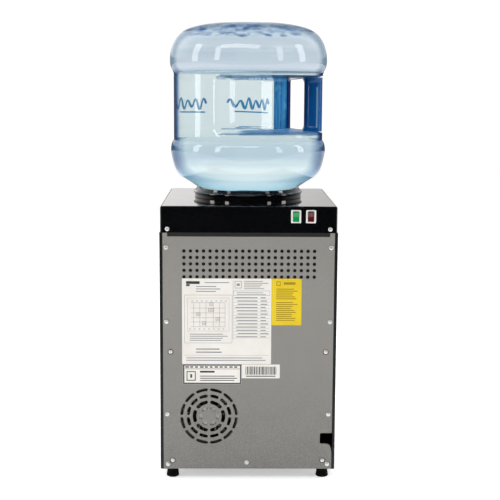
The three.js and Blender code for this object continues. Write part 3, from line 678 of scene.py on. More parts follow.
def screw_shape():
    """A pan head screw along Z, its head above the origin."""
    radius, height, shank = SCREW["radius"], SCREW["height"], SCREW["shank"]
    foot = -SCREW["length"]
    rim = 0.35  # the share of the head's height that is its straight rim
    dome = [(0.0, foot), (shank, foot), (shank, 0.0), (radius, 0.0), (radius, height * rim)]
    for step in range(1, 7):
        turn = pi / 2 * step / 6
        dome.append((radius * cos(turn), height * (rim + (1 - rim) * sin(turn))))
    dome[-1] = (0.0, height)
    return revolved(dome, 36, closed=False)


def cross_shape():
    """The two bars that cut the screw's cross recess."""
    arm, width, bottom, top = mm(1.9, 0.42, 0.7, 2.2)
    return [block((-a, -b, bottom), (a, b, top), 0.1 * MM)
            for a, b in ((arm, width), (width, arm))]


def rear_screws():
    """Fifteen screws with one shape; six stand for CAD nodes."""
    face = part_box("rear_panel")[1].y + 0.1 * MM
    base = piece("base_screw", [(screw_shape(), "screw_steel")])
    carve(base, cross_shape())
    base.data.transform(ALONG_Y)
    for number, (name, ((x, z), sunk)) in enumerate(SCREWS.items()):
        for side, word in ((-1, "_left"), (1, "_right")):
            mesh = base.data.copy()
            mesh.transform(Matrix.Rotation(0.5 + 1.3 * number + side * 0.7, 4, "Y"))
            mesh.transform(Matrix.Translation((side * x * MM, face - sunk, over_foot(z))))
            made = placed(name + word + "_head", mesh)
            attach(made, "cabinet")
            if name + word in nodes:
                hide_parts(name + word)
    x, z = MIDDLE_SCREW
    base.data.transform(Matrix.Translation((x * MM, face, over_foot(z))))


# ---- labels


class Print:
    """Ink on a label: u runs to the right as read, v up, both in mm from its middle."""

    def __init__(self, node, ink):
        self.node = node
        self.low, self.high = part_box(node)
        self.ink = ink
        self.shapes = []

    def bar(self, u0, u1, v0, v1, ink=None):
        middle = (self.low + self.high) / 2
        top, bottom = self.high.y + 0.04 * MM, self.high.y - 0.02 * MM
        x0, x1 = middle.x - u1 * MM, middle.x - u0 * MM
        z0, z1 = middle.z + v0 * MM, middle.z + v1 * MM
        corners = ((x0, z0), (x1, z0), (x1, z1), (x0, z1))
        verts = [(x, y, z) for y in (top, bottom) for x, z in corners]
        faces = [(0, 1, 2, 3), (7, 6, 5, 4), (0, 4, 5, 1), (1, 5, 6, 2), (2, 6, 7, 3),
                 (3, 7, 4, 0)]
        self.shapes.append(((verts, faces), ink or self.ink))

    def frame(self, u0, u1, v0, v1, line):
        self.bar(u0, u1, v0, v0 + line)
        self.bar(u0, u1, v1 - line, v1)
        self.bar(u0, u0 + line, v0 + line, v1 - line)
        self.bar(u1 - line, u1, v0 + line, v1 - line)

    def lines(self, u0, u1, v_top, count, pitch, line, ragged=0.0):
        """Plain rules of uneven length, where a real label has its paragraphs."""
        for i in range(count):
            short = ragged * abs(sin(2.3 * i + 0.8))
            self.bar(u0, u1 - short * (u1 - u0), v_top - i * pitch - line, v_top - i * pitch)

    def finish(self, stock):
        """The label's sheet with its ink, as one piece."""
        low, high = self.low, self.high
        outline = rectangle(low.x, high.x, low.z, high.z, 1.2 * MM)
        shapes = [(plate(outline, low.y, high.y), stock), *self.shapes]
        piece(self.node + "_sheet", shapes, [self.node])


def data_label():
    """Left, a heading and a plain grid with boxes; right, a plain table; rules below."""
    made = Print("data_label", "label_ink")
    made.frame(-69, 9, -36, 44, 0.5)
    made.bar(-66, -44, 62, 66.5, "label_black")
    made.bar(-66, -60, 58.5, 61.5, "label_black")
    made.lines(-36, 4, 65, 1, 3.0, 1.3)
    made.lines(-50, -10, 58.5, 3, 4.0, 1.4, 0.25)
    made.frame(-64, 4, -16, 39, 0.35)
    for u in (-54, -44, -34, -22, -12, -3):
        made.bar(u, u + 0.5, -9, 31)
    for v in (-9, -1, 6, 14, 22, 31):
        made.bar(-58, -3, v, v + 0.5)
    for u, v, wide in ((-50, 9, 7), (-30, 16, 9), (-40, -6, 6), (-18, 1, 7), (-28, 26, 5)):
        made.frame(u, u + wide, v, v + 6, 0.7)
        made.bar(u + 1.8, u + wide - 1.8, v + 2.3, v + 3.6)
    for number in range(16):
        u = -61 + 3.9 * number
        v = 33.5 if number % 2 else -13
        made.bar(u, u + 2.2, v, v + 1.2)
    made.lines(-60, 2, -20.5, 4, 3.4, 1.3, 0.18)
    made.bar(10, 10.5, -30, 68)
    made.frame(13, 24, 55, 67, 0.8)
    made.bar(16, 21, 59, 63)
    made.lines(28, 68, 67, 5, 3.0, 1.1, 0.35)
    made.frame(11, 70, 43, 51, 0.5)
    made.lines(16, 64, 48.2, 2, 2.8, 0.9, 0.15)
    for row in range(13):
        v = 42 - 5.4 * row
        made.bar(11, 70, v - 4.6, v - 4.2)
        made.bar(13 + 5 * abs(sin(row)), 50, v - 3.2, v - 1.7)
        made.bar(55, 68 - 5 * abs(cos(row)), v - 3.2, v - 1.7)
    made.lines(-50, -8, -45, 2, 5.2, 2.0, 0.12)
    made.bar(-69, 69, -56.5, -56.1)
    made.lines(-66, 64, -60, 2, 4.0, 1.5, 0.06)
    made.finish("label_paper")


def notice_label():
    made = Print("notice_label", "notice_ink")
    made.frame(-17, -10, 27, 34, 1.2)
    made.bar(-5, 14, 28.6, 32.6)
    made.lines(-17, 18, 22, 6, 3.2, 1.4, 0.25)
    made.lines(-17, 18, 0, 10, 3.3, 1.4, 0.3)
    made.finish("label_yellow")


def warning_label():
    """The small label with a black border: dashes, a box and rules, no words or signs."""
    made = Print("warning_label", "label_black")
    made.frame(-47.6, 47.6, -16.4, 16.4, 2.0)
    for number in range(11):
        u = -44 + 8 * number
        made.bar(u, u + 6 - 1.5 * abs(sin(number)), 11.0, 13.2)
    made.bar(-45, 45, 8.6, 9.3)
    made.frame(-42, -27, -11, 5, 1.4)
    made.bar(-36, -33, -6, 0)
    made.bar(-20, 4, 2.6, 5.6)
    made.lines(-20, 41, -2.6, 3, 3.6, 1.3, 0.1)
    made.finish("label_paper")


def serial_label():
    """Bars of uneven width that encode nothing, over one rule."""
    made = Print("serial_label", "label_black")
    u, number = -25.0, 0
    while u < 25.0:
        wide = 0.7 + 1.0 * abs(sin(1.9 * number))
        made.bar(u, u + wide, -5.5, 8.0)
        u += wide + 0.7 + 0.7 * abs(cos(2.7 * number))
        number += 1
    made.lines(-24, 24, -7.4, 1, 3.0, 1.5)
    made.finish("label_paper")


# ---- top cover, switches, collar

SWITCH_BEZELS = ("cold_switch_bezel", "hot_switch_bezel")


def top_cover():
    """A hollow gloss moulding, with a well for the collar and openings for switches and lamp."""
    low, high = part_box("top_cover")
    seam = low.z + 6 * MM
    plan = rectangle(low.x, high.x, low.y, high.y, mm(22, 22, 5, 5), 10)
    normals = []
    for i in range(len(plan)):
        along = Vector(plan[(i + 1) % len(plan)]) - Vector(plan[i - 1])
        normals.append(Vector((along.y, -along.x)).normalized())

    def fillet(normal):
        """12 mm along the front, 3.5 at the sides, 2 along the rear."""
        return (3.5 + 8.5 * max(0.0, -normal.y) ** 2 - 1.5 * max(0.0, normal.y) ** 2) * MM

    rings = [[(x, y, seam) for x, y in plan]]
    steps = 8
    for step in range(steps + 1):
        turn = pi / 2 * step / steps
        ring = []
        for (x, y), normal in zip(plan, normals):
            radius = fillet(normal)
            inset = radius * (1 - cos(turn))
            ring.append((x - normal.x * inset, y - normal.y * inset,
                         high.z - radius * (1 - sin(turn))))
        rings.append(ring)
    cover = piece("top_cover_shell", [(lofted(rings), "gloss_black")], ["top_cover"])
    wall, roof, well_radius, well_depth = mm(2.5, 6.5, 88, 9)
    hollow = rectangle(low.x + wall, high.x - wall, low.y + wall, high.y - wall,
                       mm(20, 20, 5, 5), 6)
    well = [(0.0, -well_depth), (well_radius, -well_depth), (well_radius, MM), (0.0, MM)]
    openings = [slab(hollow, [], seam - MM, high.z - roof),
                shifted(revolved(well, 128, False), z=high.z)]
    for node in SWITCH_BEZELS:
        x, _, z = middle_of(node)
        hole = rectangle(x - 6.9 * MM, x + 6.9 * MM, z - 9.4 * MM, z + 9.4 * MM, MM)
        openings.append(plate(hole, high.y - 5 * MM, high.y + MM))
    z = middle_of("lamp_lens").z
    slot = rectangle(-28 * MM, 28 * MM, z - 4 * MM, z + 4 * MM, 3 * MM)
    openings.append(plate(slot, low.y - MM, low.y + 5 * MM))
    carve(cover, openings, edge=0.25 * MM)
    cover.data.materials.append(M["fascia_black"])  # the front and sides are duller
    for face in cover.data.polygons:
        if abs(face.normal.z) < 0.15 and face.normal.y < 0.5:
            face.material_index = len(cover.data.materials) - 1
    strip = plate(rectangle(-131.2 * MM, 131.2 * MM, low.z, seam + MM, 0.5 * MM),
                  high.y - 1.2 * MM, high.y - 0.5 * MM)
    piece("top_cover_strip", [(strip, "satin_black")])


def bezel(node):
    """A switch's flange, dished towards its opening, with its body and blades behind."""
    low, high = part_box(node)
    x, _, z = middle_of(node)
    half = ((high.x - low.x) / 2, (high.z - low.z) / 2)
    opening = (5.1 * MM, 8.4 * MM)

    def loop(half_x, half_z, depth, radius):
        corners = rectangle(x - half_x, x + half_x, z - half_z, z + half_z, radius, 5)
        return [(px, high.y - depth, pz) for px, pz in corners]

    def outer(inset, depth):
        return loop(half[0] - inset * MM, half[1] - inset * MM, depth * MM, 1.6 * MM)

    def inner(grow, depth):
        return loop(opening[0] + grow * MM, opening[1] + grow * MM, depth * MM, MM)

    rings = [outer(0, 1.5), outer(0, 0.9), outer(0.35, 0.25), outer(1.1, 0),
             inner(0.6, 0), inner(0.1, 0.4), inner(0, 1.0), inner(0, 17)]
    back = loop(6.6 * MM, 9.2 * MM, 17.5 * MM, MM)
    front = [(px, high.y - 1.5 * MM, pz) for px, _, pz in back]
    lid = ([*back, *rings[-1]], [tuple(range(len(back)))])
    shapes = [(lofted(rings, capped=False), "white_plastic"),
              (lofted([rings[0], front, back], capped=False), "white_plastic"),
              (lid, "white_plastic")]
    for side in (-1, 1):
        centre = z + side * 5 * MM
        blade = block((x - 2.4 * MM, low.y, centre - 0.4 * MM),
                      (x + 2.4 * MM, low.y + 9 * MM, centre + 0.4 * MM), 0.15 * MM)
        shapes.append((blade, "zinc_steel"))
    piece(node + "_frame", shapes, [node])


def rocker(node, body, material):
    """The CAD rocker's two tilted faces, hollowed a little, with rounded edges and a tick."""
    low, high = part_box(node)
    joint = next(j for j in frame["joints"] if j["child"] == body)
    _, axis_y, axis_z = joint["pos_m"]
    tilt = -radians(8)
    half_x = (high.x - low.x) / 2
    centre = (low.x + high.x) / 2
    reach = 7.4 * MM
    section = []
    for step in range(21):
        share = step / 10 - 1
        section.append(((2.2 + 1.0 * abs(share) ** 1.15) * MM, share * reach))
    section += [(1.9 * MM, reach * 1.01), (-2 * MM, reach), (-5 * MM, 3.5 * MM),
                (-5 * MM, -3.5 * MM), (-2 * MM, -reach), (1.9 * MM, -reach * 1.01)]

    def ring(x, inset):
        made = []
        for out, up in section:
            a = out - inset * (1 if out > 0 else -1)
            b = up * (1 - inset / reach)
            made.append((x, axis_y + a * cos(tilt) - b * sin(tilt),
                         axis_z + a * sin(tilt) + b * cos(tilt)))
        return made

    ends = [(-1.0, 0.5), (-0.97, 0.15), (-0.9, 0.0), (0.9, 0.0), (0.97, 0.15), (1.0, 0.5)]
    rings = [ring(centre + share * half_x, inset * MM) for share, inset in ends]
    face = axis_y + 2.9 * MM
    tick = block((centre - 0.35 * MM, face - 0.6 * MM, axis_z + 2.6 * MM),
                 (centre + 0.35 * MM, face + 0.1 * MM, axis_z + 5.2 * MM), 0.1 * MM)
    piece(node + "_cap", [(lofted(rings), material), (tick, "white_plastic")], [node], body)


def collar():
    """The glossy collar: a skirt with a lip half way up, and the funnel that guides the neck."""
    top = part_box("top_cover")[1].z
    profile = [
        (92.8, 0.3), (92.8, 7.0), (94.6, 8.4), (94.4, 10.2), (91.2, 11.4), (89.6, 14.5),
        (88.4, 17.4), (86.0, 15.8), (84.5, 13.5), (83.5, 2.0), (60.0, -16.0), (38.0, -24.0),
        (34.5, -28.0), (34.5, -74.0), (12.0, -74.0), (12.0, -76.5), (37.0, -76.5),
        (37.0, -29.0), (40.0, -26.8), (61.0, -18.5), (85.5, -1.0), (85.5, 0.3),
    ]
    radii = [0.4, 1.4, 0.8, 0.8, 1.2, 2.0, 0.9, 1.0, 1.0, 8, 8, 4, 3, 1, 0.5, 0.5, 1, 2, 3, 6,
             1, 0.2]
    shape = revolved([(r * MM, top + z * MM) for r, z in rounded(profile, radii, 5)], 160)
    piece("bottle_collar_ring", [(shape, "gloss_black")], ["bottle_collar"], "collar")


# ---- bottle

POCKET = {
    "low": 575.5 * MM, "high": 657.5 * MM,  # floor and ceiling, from the bench
    "ease": 7 * MM,  # the height over which each of them curves in
    "wall": 73 * MM, "rise": 62 * MM,  # the wall's radius at its deepest, and what it gains
    "start": 25.0, "sweep": 90.0,  # degrees from the handle
    "tinted": -42 * MM, "deep": -65 * MM,  # where the painted blue starts, and where its painted navy shade starts, in x
    "shade_lines": (mm(568.5, 570.2), mm(661, 664.8)),  # painted shade: the darker lines at its floor and ceiling
}
WAIST = 128.5  # the waist's radius, in mm
SHELL = 1.9  # the wall's thickness, in mm
NECK = 372  # the neck's lower end over the cabinet's foot, in mm
WATER_LEVEL = over_foot(654)


def smooth_step(share):
    t = min(max(share, 0.0), 1.0)
    return t * t * (3 - 2 * t)


def bottle_rows(inset, floor):
    """(radius, height, pocket weight) up the bottle's side, thinner by inset millimetres."""
    i = inset
    rows = [(28 - i, floor), (28 - i, 424 + i)]

    def curve(steps, *points, start=None):
        rows.extend(bezier([start or rows[-1], *points], steps))

    curve(6, (28 - i, 431 + i), (36, 434.5 + i))
    curve(4, (62, 445.8 + i), (89, 457.5 + i))
    curve(5, (103, 467 + i), (117 - i / 2, 475.5 + i))
    curve(12, (130 - i, 486), (133.5 - i, 520))
    curve(8, (133.8 - i, 532), (WAIST - i, 538))
    rows += [(WAIST - i, 538 + 2.5 * k) for k in range(1, 46)]
    curve(8, (134.5 - i, 660), (135 - i, 672), start=(WAIST - i, 654))
    curve(18, (134.5 - i, 700), (124 - i, 722 - i), (95 - i / 2, 729 - i))
    curve(8, (72, 735.8 - i), (45, 736 - i))
    curve(4, (39, 735.6 - i), (34, 732.5 - i))
    rows += [(22, 731.4 - i), (10, 731 - i), (0.0, 731 - i)]
    made = []
    for radius, height in rows:
        z = over_foot(height)
        grow = inset * MM
        rise = smooth_step((z - (POCKET["low"] - grow - POCKET["ease"])) / POCKET["ease"])
        fall = 1 - smooth_step((z - (POCKET["high"] + grow)) / POCKET["ease"])
        made.append((radius * MM, z, rise * fall))
    return made


def pocket_radius(radius, weight, angle, inset=0.0):
    """The side's radius where the pocket scoops it; angle is from the handle, in degrees."""
    if weight == 0:
        return radius
    share = max(0.0, (angle - POCKET["start"]) / POCKET["sweep"])
    wall = POCKET["wall"] - inset + POCKET["rise"] * share ** 3
    soft = 3 * MM
    blended = -soft * log(exp(-radius / soft) + exp(-wall / soft))
    return radius - weight * (radius - blended)


def bottle_skin(rows, inset, segments=144):
    rings = []
    for radius, z, weight in rows:
        ring = []
        for turn in turns(segments):
            r = pocket_radius(radius, weight, abs(180 - degrees(turn)), inset)
            ring.append((r * cos(turn), r * sin(turn), z))
        rings.append(ring)
    return rings


def bottle():
    """The shell, open at its neck, with the pocket's tints."""
    outer = bottle_skin(bottle_rows(0.0, NECK), 0.0)
    inner = bottle_skin(bottle_rows(SHELL, NECK), SHELL * MM)
    verts, faces = lofted([*outer, *reversed(inner)], capped=False)
    count = len(outer[0])
    last = len(verts) - count
    rim = [(last + i, last + (i + 1) % count, (i + 1) % count, i) for i in range(count)]
    made = piece("bottle_shell", [((verts, faces + rim), "bottle_wall")], ["bottle"], "bottle",
                 weighted=False)
    blue, navy, level, shade_line = range(1, 5)
    for name in ("pocket_reflection_blue", "pocket_navy_shade", "bottle_level", "pocket_shade_line"):
        made.data.materials.append(M[name])
    for face in made.data.polygons:
        x, y, z = face.center
        out = hypot(x, y)
        scooped = out < (WAIST - 6) * MM and POCKET["low"] < z < POCKET["high"]
        # painted reflection blue on the pocket's wall, with painted navy shade near the handle
        if scooped and x < POCKET["tinted"]:
            face.material_index = blue if x > POCKET["deep"] else navy
        # painted shade lines at the pocket's floor and ceiling
        elif out < (WAIST - 2.4) * MM and any(a < z < b for a, b in POCKET["shade_lines"]):
            face.material_index = shade_line
        elif face.normal.z > 0.8:
            face.material_index = level


def bottle_water():
    """The water, lapped a little into the wall so that light passes straight into it."""
    inset = SHELL - 0.3
    rows = [row for row in bottle_rows(inset, NECK + 20) if row[1] < WATER_LEVEL]
    radius = rows[-1][0]
    rings = bottle_skin(rows, inset * MM)
    for shrink, rise in ((0.0, 0.0), (1.0, -0.8), (3.0, -1.2), (radius / MM, -1.2)):
        share = 1 - shrink * MM / radius
        edge = bottle_skin([(radius, WATER_LEVEL + rise * MM, 0)], 0)[0]
        rings.append([(share * x, share * y, z) for x, y, z in edge])
    foot = [(0.0, 0.0, rings[0][0][2])] * len(rings[0])
    body = lofted([foot, *rings], capped=False)
    piece("bottle_water", [(body, "water")], (), "bottle", weighted=False)


def bottle_print():
    """A plain printed wave over a rule, twice, as ribbons that follow the bottle's wall."""
    middle = over_foot(598)

    def ribbon(start, end, line, half):
        """line and half give the height and half the stroke's width, in mm, at each degree."""
        steps = int((end - start) * 5)
        spots = []
        for step in range(steps + 1):
            along = (end - start) * step / steps
            azimuth = start + along
            wall = pocket_radius(WAIST * MM, 1.0, abs(180 - azimuth)) / MM
            spots.append((radians(azimuth), wall, line(along), half(along)))
        rings = []
        for number, (azimuth, wall, height, width) in enumerate(spots):
            before, after = spots[max(number - 1, 0)], spots[min(number + 1, steps)]
            run = (after[0] - before[0]) * wall
            rise = after[2] - before[2]
            span = hypot(run, rise)
            ring = []
            for out, side in ((0.06, -1), (0.06, 1), (-0.2, 1), (-0.2, -1)):
                turn = azimuth - side * width * rise / span / wall
                z = middle + (height + side * width * run / span) * MM
                angle = abs(180 - degrees(turn))
                radius = pocket_radius(WAIST * MM, 1.0, angle) + out * MM
                ring.append((radius * cos(turn), radius * sin(turn), z))
            rings.append(ring)
        return lofted(rings)

    shapes = []
    for start, end in ((246.0, 289.0), (303.0, 335.0)):
        shapes.append(ribbon(
            start, end,
            lambda a: (7.5 + 2.5 * sin(a * 0.31)) * sin(a * 0.8),
            lambda a: 1.9 + 0.5 * cos(a * 0.8 + 0.6),
        ))
        shapes.append(ribbon(start + 1, end - 5, lambda a: -15.5 + 0.04 * a, lambda a: 1.2))
    piece("bottle_print", [(shape, "print_blue_self_lit") for shape in shapes], (), "bottle",
          weighted=False)


def bottle_handle():
    """The handle: an upright bar that flares into the pocket's floor and ceiling."""
    middle_x, half_x, half_y = mm(-112.2, 15.6, 16.5)
    low, high = POCKET["low"] - 5 * MM, POCKET["high"] + 5 * MM
    rings = []
    steps, sides = 28, 40
    for step in range(steps + 1):
        z = low + (high - low) * step / steps
        flare = 1 + 0.28 * exp(-(min(z - low, high - z) / (5 * MM)) ** 2)
        ring = []
        for turn in turns(sides):
            c, s = cos(turn), sin(turn)
            out = half_x * copysign(abs(c) ** 0.7, c) * (flare if c > 0 else 1)
            ring.append((middle_x + out, half_y * copysign(abs(s) ** 0.7, s) * flare, z))
        rings.append(ring)
    made = piece("bottle_handle", [(lofted(rings), "handle_blue")], (), "bottle")
    # painted highlight: a pale upright strip on the bar's outer side
    made.data.materials.append(M["handle_highlight_strip"])
    highlight_low, highlight_high = low + 8 * MM, high - 16 * MM
    for face in made.data.polygons:
        x, y, z = face.center
        if y > 12 * MM and -119.2 * MM < x < -116.4 * MM and highlight_low < z < highlight_high:
            face.material_index = 1


def bottle_cap():
    low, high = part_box("bottle_cap")
    outer = high.x
    bore = outer - 2.8 * MM
    hole = 11 * MM
    roof = low.z + 1.4 * MM
    profile = rounded(
        [(hole, low.z), (outer, low.z), (outer, high.z), (bore, high.z), (bore, roof),
         (hole, roof)],
        mm(0.4, 1.2, 0.5, 0.3, 0.3, 0.3),
    )
    verts, faces = revolved(profile, 144)
    ribbed = []
    for x, y, z in verts:
        radius = hypot(x, y)
        if radius > outer - 0.3 * MM and low.z + 2 * MM < z < high.z:
            share = 1 - 0.35 * MM / radius * (sin(36 * atan2(y, x)) > 0)
            x, y = x * share, y * share
        ribbed.append((x, y, z))
    piece("bottle_cap_moulded", [((ribbed, faces), "cap_blue")], ["bottle_cap"], "bottle")


# ---- feet and fan


def feet():
    for node in ("foot_rear_left", "foot_rear_right", "foot_front_left", "foot_front_right"):
        low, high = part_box(node)
        middle = middle_of(node)
        radius = (high.x - low.x) / 2
        neck = radius - 1.6 * MM
        profile = rounded(
            [(0.0, 0.0), (radius - 1.4 * MM, 0.0), (radius, 1.6 * MM),
             (radius - 0.9 * MM, 8 * MM), (neck, 12 * MM), (neck, high.z), (0.0, high.z)],
            mm(0, 1.0, 1.2, 2, 2, 0.5, 0),
        )
        dish = [(0.0, 0.8 * MM), (3.4 * MM, 0.8 * MM), (3.8 * MM, 0.0)]
        shape = shifted(revolved([*dish, *profile[1:]], 48, False), middle.x, middle.y)
        piece(node + "_moulded", [(shape, "foot_rubber")], [node])


def fan_frame():
    """Two square flanges with a duct between them, and a hub on four struts with its label."""
    low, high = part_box("fan_frame")
    x, z = FAN["x"], FAN["z"]
    depth = high.y - low.y
    bore, wall, flange, strut_depth = mm(43.5, 2, 3.5, 4)
    corners = [(x + a * 41 * MM, z + b * 41 * MM) for a in (-1, 1) for b in (-1, 1)]
    outline = rectangle(low.x, high.x, low.z, high.z, 6 * MM, 6)
    holes = [circle(x, z, bore, 96)] + [circle(a, b, 2.2 * MM, 20) for a, b in corners]
    tube = rounded([(bore, 0.0), (bore + wall, 0.0), (bore + wall, depth), (bore, depth)],
                   0.3 * MM)
    hub = rounded([(0.0, 0.0), (19 * MM, 0.0), (19 * MM, strut_depth), (0.0, strut_depth)],
                  mm(0, 0.4, 1.2, 0))
    front = high.y - strut_depth
    shapes = [
        plate(outline, high.y - flange, high.y, holes),
        plate(outline, low.y, low.y + flange, holes),
        turned_y(tube, 96, x, low.y, z, closed=True),
        turned_y(hub, 64, x, front, z),
    ]
    for quarter in turns(4):
        strut = block((18 * MM, -2.2 * MM, 0.0), (bore + MM, 2.2 * MM, 3 * MM), 0.5 * MM)
        spun = moved(strut, Matrix.Rotation(quarter + radians(45), 4, "Z"))
        shapes.append(shifted(moved(spun, ALONG_Y), x, front, z))
    rim, thick = mm(16.5, 0.15)
    label = rounded([(0.0, 0.0), (rim, 0.0), (rim, thick), (0.0, thick)], mm(0, 0.05, 0.05, 0))
    made = [(shape, "satin_black") for shape in shapes]
    made.append((turned_y(label, 48, x, high.y, z), "hub_label"))
    piece("fan_frame_moulded", made, ["fan_frame"])


def fan_impeller():
    """A hub with seven cambered, twisted blades."""
    low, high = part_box("fan_impeller")
    x, z = FAN["x"], FAN["z"]
    depth = high.y - low.y
    reach = depth / 2 - 0.2 * MM
    hub = rounded([(0.0, 0.0), (18 * MM, 0.0), (18 * MM, depth), (0.0, depth)],
                  mm(0, 3, 0.6, 0), 6)
    shapes = [turned_y(hub, 72, x, low.y, z)]
    for place in turns(7):
        rings = []
        for step in range(9):
            share = step / 8
            radius = (17 + 25 * share) * MM
            pitch = radians(52 - 26 * share)
            chord = (17 + 7 * share) * MM
            ring = []
            for turn in turns(16):
                along = chord / 2 * cos(turn)
                camber = 1.6 * MM * (1 - (2 * along / chord) ** 2)
                out = 0.75 * MM * sin(turn) + camber
                around = along * cos(pitch) - out * sin(pitch)
                axial = along * sin(pitch) + out * cos(pitch)
                axial = min(max(axial, -reach), reach)
                swing = around / radius + 0.35 * share + place
                ring.append((x + radius * cos(swing), low.y + depth / 2 + axial,
                             z + radius * sin(swing)))
            rings.append(ring)
        shapes.append(lofted(rings))
    piece("fan_impeller_moulded", [(s, "satin_black") for s in shapes], ["fan_impeller"], "fan")


# ---- carried over CAD nodes

CARRIED = {
    "black_paint": ["base_pan", "side_panel_left", "side_panel_right", "tank_shelf"],
    "fascia_black": ["front_fascia"],
    "satin_black": ["alcove_liner", "drip_tray", "cold_tap_body", "hot_tap_body",
                    "hot_tap_paddle", "hot_thermostat", "drain_plug"],
    "cold_blue": ["cold_tap_paddle"],
    "hot_red": ["hot_child_lock"],
    "stainless": ["drip_grille", "cold_tap_pin", "hot_tap_pin", "cold_tank", "hot_tank",
                  "heater_band"],
    "zinc_steel": ["hot_tank_stand", "power_supply"],
    "aluminium": ["cold_block", "heat_sink"],
    "module_ceramic": ["thermoelectric_module"],
    "foam_beads": ["cold_tank_foam"],
    "white_plastic": ["bottle_probe", "reservoir", "drain_fitting", "terminal_block"],
    "silicone_hose": ["cold_feed_hose", "cold_outlet_hose", "hot_feed_hose",
                      "hot_outlet_hose"],
    "lamp_lens": ["lamp_lens"],
}


def carried_over():
    """CAD nodes whose shape is right: welded, with softened edges and their own material."""
    for material, names in CARRIED.items():
        for name in names:
            node = nodes[name]
            node.data.materials.clear()
            node.data.materials.append(M[material])
            if "custom_normal" in node.data.attributes:
                node.data.attributes.remove(node.data.attributes["custom_normal"])
            node.data.shade_smooth()
            node.modifiers.new("weld", "WELD").merge_threshold = 1e-6
            bevel = node.modifiers.new("edges", "BEVEL")
            bevel.limit_method = "ANGLE"
            bevel.angle_limit = radians(40)
            bevel.width = 0.35 * MM
            bevel.segments = 2
            weigh_normals(node)


# ---- camera, floor and light


def camera():
    data = bpy.data.cameras.new("camera")
    data.lens = CAMERA["lens"]
    data.sensor_width = CAMERA["sensor"]
    data.clip_end = 50.0
    made = placed("camera", data)
    pitch, yaw = CAMERA["pitch"], CAMERA["yaw"]
    ahead = Vector((-sin(yaw) * cos(pitch), -cos(yaw) * cos(pitch),
                    -sin(pitch)))
    facing = ahead.to_track_quat("-Z", "Y").to_matrix().to_4x4()
    made.matrix_world = (
        Matrix.Translation(CAMERA["place"]) @ facing @ Matrix.Rotation(CAMERA["roll"], 4, "Z")
    )
    bpy.context.scene.camera = made


def floor():
    mesh = bpy.data.meshes.new("floor")
    mesh.from_pydata([(-5, -7, 0), (5, -7, 0), (5, 1.3, 0), (-5, 1.3, 0)], [], [(0, 1, 2, 3)])
    finish = Finish("floor", srgb(250, 250, 250), 0.7, Specular_IOR_Level=0.1,
                    Emission_Strength=0.49, Emission_Color=WHITE)
    finish.tint(finish.noise(2.0), srgb(248, 248, 248))
    mesh.materials.append(M["floor"])
    placed("floor", mesh)


def world():
    """White behind the object and above it, dim on the camera's side, like one bright sweep.

    Mirrored light also fades to one side. What the camera sees directly, or through the
    bottle, is an even white.
    """
    made = bpy.data.worlds.new("studio")
    made.use_nodes = True
    tree = made.node_tree
    tree.nodes.clear()

    def background(strength):
        inputs = {"Color": WHITE, "Strength": strength}
        return wire(tree, "Background", inputs).outputs["Background"]

    def either(share, off, on):
        return wire(tree, "MixShader", {0: share, 1: off, 2: on}).outputs["Shader"]

    ray = wire(tree, "LightPath").outputs
    place = wire(tree, "TexCoord").outputs["Generated"]
    way = wire(tree, "SeparateXYZ", {"Vector": place}).outputs
    away = ranged(tree, way["Y"], 0.03, 1.2, 0.25, -0.55)
    rise = ranged(tree, way["Z"], 0.12, 1.0, 0.045, 0.08)
    faded = ranged(tree, ray["Is Glossy Ray"], 1.0, 0.55, 0.0, 1.0)
    across = ranged(tree, way["X"], faded, 1.0, -0.13, 0.1)
    lit = background(product(tree, product(tree, away, rise), across))
    through = either(ray["Is Transmission Ray"], lit, background(0.98))
    seen = either(ray["Is Camera Ray"], through, background(1.05))
    wire(tree, "OutputWorld", {"Surface": seen})
    bpy.context.scene.world = made


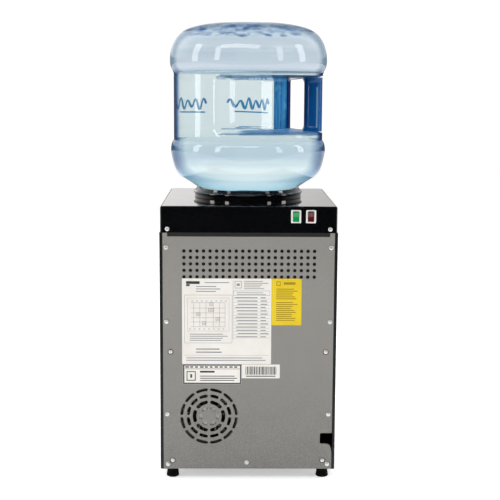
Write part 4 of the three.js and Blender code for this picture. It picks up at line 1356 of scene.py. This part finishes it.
def softbox(name, place, target, size, power, mirrored_in=()):
    """A rectangular light; only the pieces in mirrored_in show its reflection.

    Their light is a second one, a little nearer its target, because in the first one's place
    its reflection is lost.
    """
    for number, receivers in enumerate([None, mirrored_in] if mirrored_in else [None]):
        data = bpy.data.lights.new(name, "AREA")
        data.shape = "RECTANGLE"
        data.size, data.size_y = size
        data.energy = power
        made = placed(f"{name}_glint" if number else name, data)
        made.visible_camera = False
        made.visible_transmission = False
        made.visible_glossy = bool(receivers)
        made.visible_diffuse = not receivers
        ahead = Vector(target) - Vector(place)
        made.location = Vector(place) + 0.03 * number * ahead.normalized()
        made.rotation_euler = ahead.to_track_quat("-Z", "Y").to_euler()
        if receivers:
            linked = bpy.data.collections.new(f"{name}_receivers")
            for receiver in receivers:
                linked.objects.link(bpy.data.objects[receiver])
            made.light_linking.receiver_collection = linked


def lights():
    middle = (0, 0, 0.5)
    shiny = ["bottle_shell", "bottle_handle", "bottle_collar_ring", "base_screw"]
    shiny += [name for name in bpy.data.objects.keys() if name.endswith("_head")]
    softbox("key_left", (1.5, 1.5, 1.1), middle, (0.3, 1.2), 10.5, shiny)
    softbox("key_right", (-1.5, 1.5, 1.1), middle, (0.3, 1.2), 7.5, shiny)
    softbox("wing_left", (2.0, 0.3, 1.1), middle, (0.4, 1.3), 12, shiny)
    softbox("wing_right", (-2.0, 0.3, 1.1), middle, (0.4, 1.3), 12, shiny)
    softbox("rear_high", (0.3, 1.3, 1.5), (0, 0.16, 0.3), (1.5, 0.3), 11, shiny)
    softbox("overhead", (0.0, -0.2, 2.2), (0, 0, 0.3), (1.6, 1.6), 12)
    softbox("user_side", (0.5, -2.2, 1.5), (0, 0, 0.35), (1.2, 1.2), 12)


# ---- making

camera()
floor()
world()
bpy.context.scene.view_settings.view_transform = "Standard"

rear_panel()
vent_screen()
rear_screws()
data_label()
notice_label()
warning_label()
serial_label()
top_cover()
for node in SWITCH_BEZELS:
    bezel(node)
rocker("cold_switch_rocker", "cold_rocker", "switch_green")
rocker("hot_switch_rocker", "hot_rocker", "switch_red")
collar()
bottle()
bottle_water()
bottle_print()
bottle_handle()
bottle_cap()
feet()
fan_frame()
fan_impeller()
carried_over()
lights()
